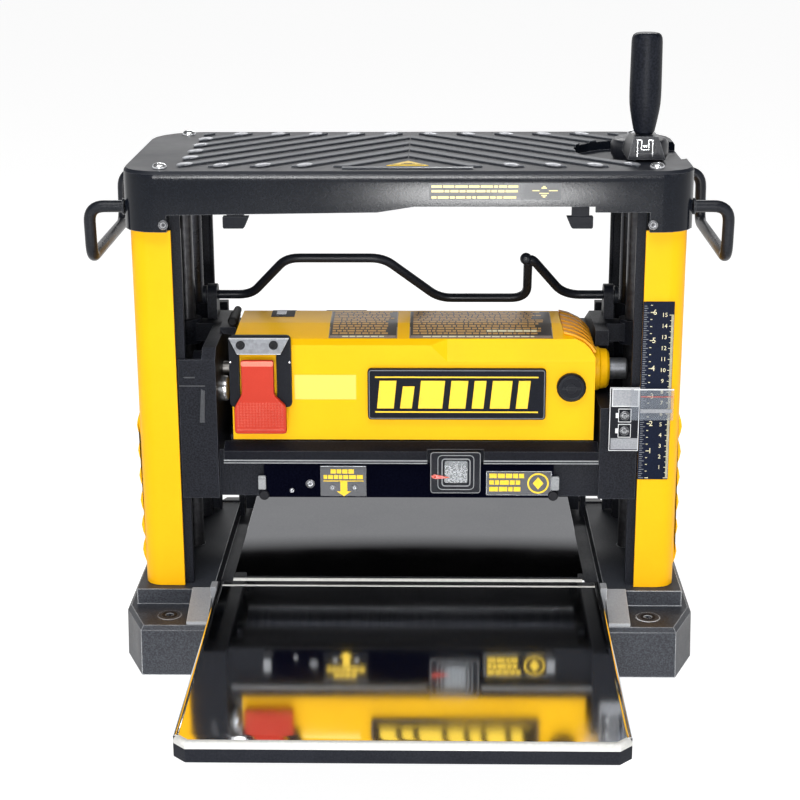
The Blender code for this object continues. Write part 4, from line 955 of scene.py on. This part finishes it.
def rolled_skin(radius, steps=6):
    """Thin skin over a rolled edge, pale to paint a highlight on it: points (out of the axis, up) from its
    side to its top and back.
    """
    turns = [math.pi / 2 * i / steps for i in range(steps + 1)]
    outer = [((radius + SKIN) * math.cos(a), (radius + SKIN) * math.sin(a)) for a in turns]
    inner = [((radius + SKIN_GAP) * math.cos(a), (radius + SKIN_GAP) * math.sin(a)) for a in turns]
    return outer + inner[::-1]


# Pale skin over the bed's front rolled edge: a painted highlight.
roll = bmesh.new()
prism(roll, [(BED_ROLL - BED_FRONT - out, BED_TOP - BED_ROLL + up) for out, up in rolled_skin(BED_ROLL)],
      -0.1600, 0.1580, "X")
make("bed_front_roll_highlight", roll, pale_edge_highlight, "frame")
BEAD = [(0.1720, 0.0684), (0.1725, 0.0686), (0.1725, 0.0697), (0.1720, 0.0706), (0.1709, 0.07105),
        (0.1694, 0.07105), (0.1681, 0.0708), (0.1680, BED_TOP), (0.1720, BED_TOP)]
MITRE = math.tan(math.pi / 8)
for s, name in ((-1, "infeed"), (1, "outfeed")):
    # A thin pale strip along the table's near edge and a pale skin over its far rolled edge: painted
    # highlights.
    highlight_strips = bmesh.new()
    line = sorted((s * 0.1248, s * 0.1270))
    prism(highlight_strips, [(-0.1716, line[0]), (0.1716, line[0]), (0.1716, line[1]), (-0.1716, line[1])],
          BED_TOP, BED_TOP + 0.0003)
    sections = []
    for x, y, out_x, out_y in ((-TABLE_SIDE, TABLE_END - TABLE_CORNER, -DIAGONAL, DIAGONAL),
                               (-TABLE_SIDE + TABLE_CORNER, TABLE_END, -MITRE, 1.0),
                               (TABLE_SIDE - TABLE_CORNER, TABLE_END, MITRE, 1.0),
                               (TABLE_SIDE, TABLE_END - TABLE_CORNER, DIAGONAL, DIAGONAL)):
        sections.append([(x + (out - TABLE_ROLL) * out_x, s * (y + (out - TABLE_ROLL) * out_y),
                          BED_TOP - TABLE_ROLL + up) for out, up in rolled_skin(TABLE_ROLL)])
    loft(highlight_strips, sections)
    make(f"{name}_table_edge_highlight", highlight_strips, pale_edge_highlight, f"{name}_table")
    beads = bmesh.new()
    near, far = sorted((s * 0.1160, s * 0.4140))
    for t in (-1, 1):
        prism(beads, [(t * x, z) for x, z in BEAD], near, far, "Y")
    make(f"{name}_table_beads", beads, bead_steel, f"{name}_table")

RIM = [(FOOT_TOP, 0.0068), (FOOT_TOP + 0.0003, 0.0066), (FOOT_TOP + 0.0003, 0.0046), (FOOT_TOP, 0.0044)]
for side, s in (("left", -1), ("right", 1)):
    bolts = bmesh.new()
    for y in (-BOLT_Y, BOLT_Y):
        lathe(bolts, RIM, (s * BOLT_X, y), sides=24, close=True)
    make(f"foot_hole_rims_{side}", bolts, deep, "frame")


# ---- floor, light and camera
def area(name, spot, aim, size, power):
    """Rectangular lamp that looks at a point."""
    light = bpy.data.lights.new(name, "AREA")
    light.shape = "RECTANGLE"
    light.size, light.size_y = size
    light.energy = power
    obj = bpy.data.objects.new(name, light)
    obj.location = spot
    obj.rotation_euler = (Vector(aim) - Vector(spot)).to_track_quat("-Z", "Y").to_euler()
    bpy.context.scene.collection.objects.link(obj)
    return obj


floor = bmesh.new()
bmesh.ops.create_grid(floor, x_segments=1, y_segments=1, size=14.0)
floor_data = bpy.data.meshes.new("floor")
floor.to_mesh(floor_data)
floor.free()
floor_object = bpy.data.objects.new("floor", floor_data)
floor_object.location = (0.0, 0.0, -0.0005)
bpy.context.scene.collection.objects.link(floor_object)
floor_material = bpy.data.materials.new("floor")
floor_material.use_nodes = True
floor_shader = floor_material.node_tree.nodes["Principled BSDF"]
floor_shader.inputs["Base Color"].default_value = (0.30, 0.30, 0.30, 1.0)
floor_shader.inputs["Roughness"].default_value = 0.9
floor_shader.inputs["Specular IOR Level"].default_value = 0.0
floor_shader.inputs["Emission Color"].default_value = (1.0, 1.0, 1.0, 1.0)
floor_shader.inputs["Emission Strength"].default_value = 0.93
floor_data.materials.append(floor_material)

world = bpy.data.worlds.new("studio")
world.use_nodes = True
sky = world.node_tree
look = sky.nodes.new("ShaderNodeTexCoord")
height = sky.nodes.new("ShaderNodeSeparateXYZ")
sky.links.new(look.outputs["Generated"], height.inputs[0])
ramp = sky.nodes.new("ShaderNodeValToRGB")
ramp.color_ramp.elements[0].position = 0.0
ramp.color_ramp.elements[0].color = (1.0, 1.0, 1.0, 1.0)
ramp.color_ramp.elements[1].position = 1.0
ramp.color_ramp.elements[1].color = (0.05, 0.05, 0.052, 1.0)
for at, tone in ((0.14, 0.90), (0.27, 0.30), (0.3655, 0.30), (0.3695, 0.001), (0.60, 0.001)):
    ramp.color_ramp.elements.new(at).color = (tone, tone, tone * 1.02, 1.0)
sky.links.new(height.outputs["Z"], ramp.inputs[0])
sky.links.new(ramp.outputs[0], sky.nodes["Background"].inputs["Color"])
sky.nodes["Background"].inputs["Strength"].default_value = 1.0
bpy.context.scene.world = world
bpy.context.scene.view_settings.view_transform = "Standard"

area("key", (-1.5, -2.3, 2.4), (0.0, 0.0, 0.2), (1.4, 1.4), 9.0)
area("fill", (2.0, -1.8, 1.5), (0.0, 0.0, 0.25), (1.2, 1.2), 4.0)
area("band", (-0.15, -3.2, 1.10), (0.0, -0.1165, 0.44), (1.15, 0.20), 34.0).visible_camera = False
area("high", (-0.2, -1.6, 2.4), (0.0, 0.0, 0.25), (1.8, 0.6), 26.0).visible_camera = False
area("top", (0.0, -0.7, 2.7), (0.0, -0.1, 0.0), (2.4, 1.2), 24.0)
area("back", (0.0, 1.5, 1.25), (0.0, -0.03, 0.29), (1.3, 0.30), 9.0)
area("card", (0.135, -2.5, 0.02), (0.067, -0.1165, 0.43), (0.39, 0.50), 24.0).visible_camera = False

camera = bpy.data.cameras.new("camera")
camera.lens = 80.07
camera.sensor_width = 36.0
camera_object = bpy.data.objects.new("camera", camera)
bpy.context.scene.collection.objects.link(camera_object)
CAMERA_AT, PITCH_DOWN, YAW, ROLL = (0.0256, -1.6131, 0.7003), 16.986, 1.247, -0.245
camera_object.matrix_world = (Matrix.Translation(CAMERA_AT) @ Matrix.Rotation(math.radians(YAW), 4, "Z")
                              @ Matrix.Rotation(math.radians(90.0 - PITCH_DOWN), 4, "X")
                              @ Matrix.Rotation(math.radians(ROLL), 4, "Z"))
bpy.context.scene.camera = camera_object
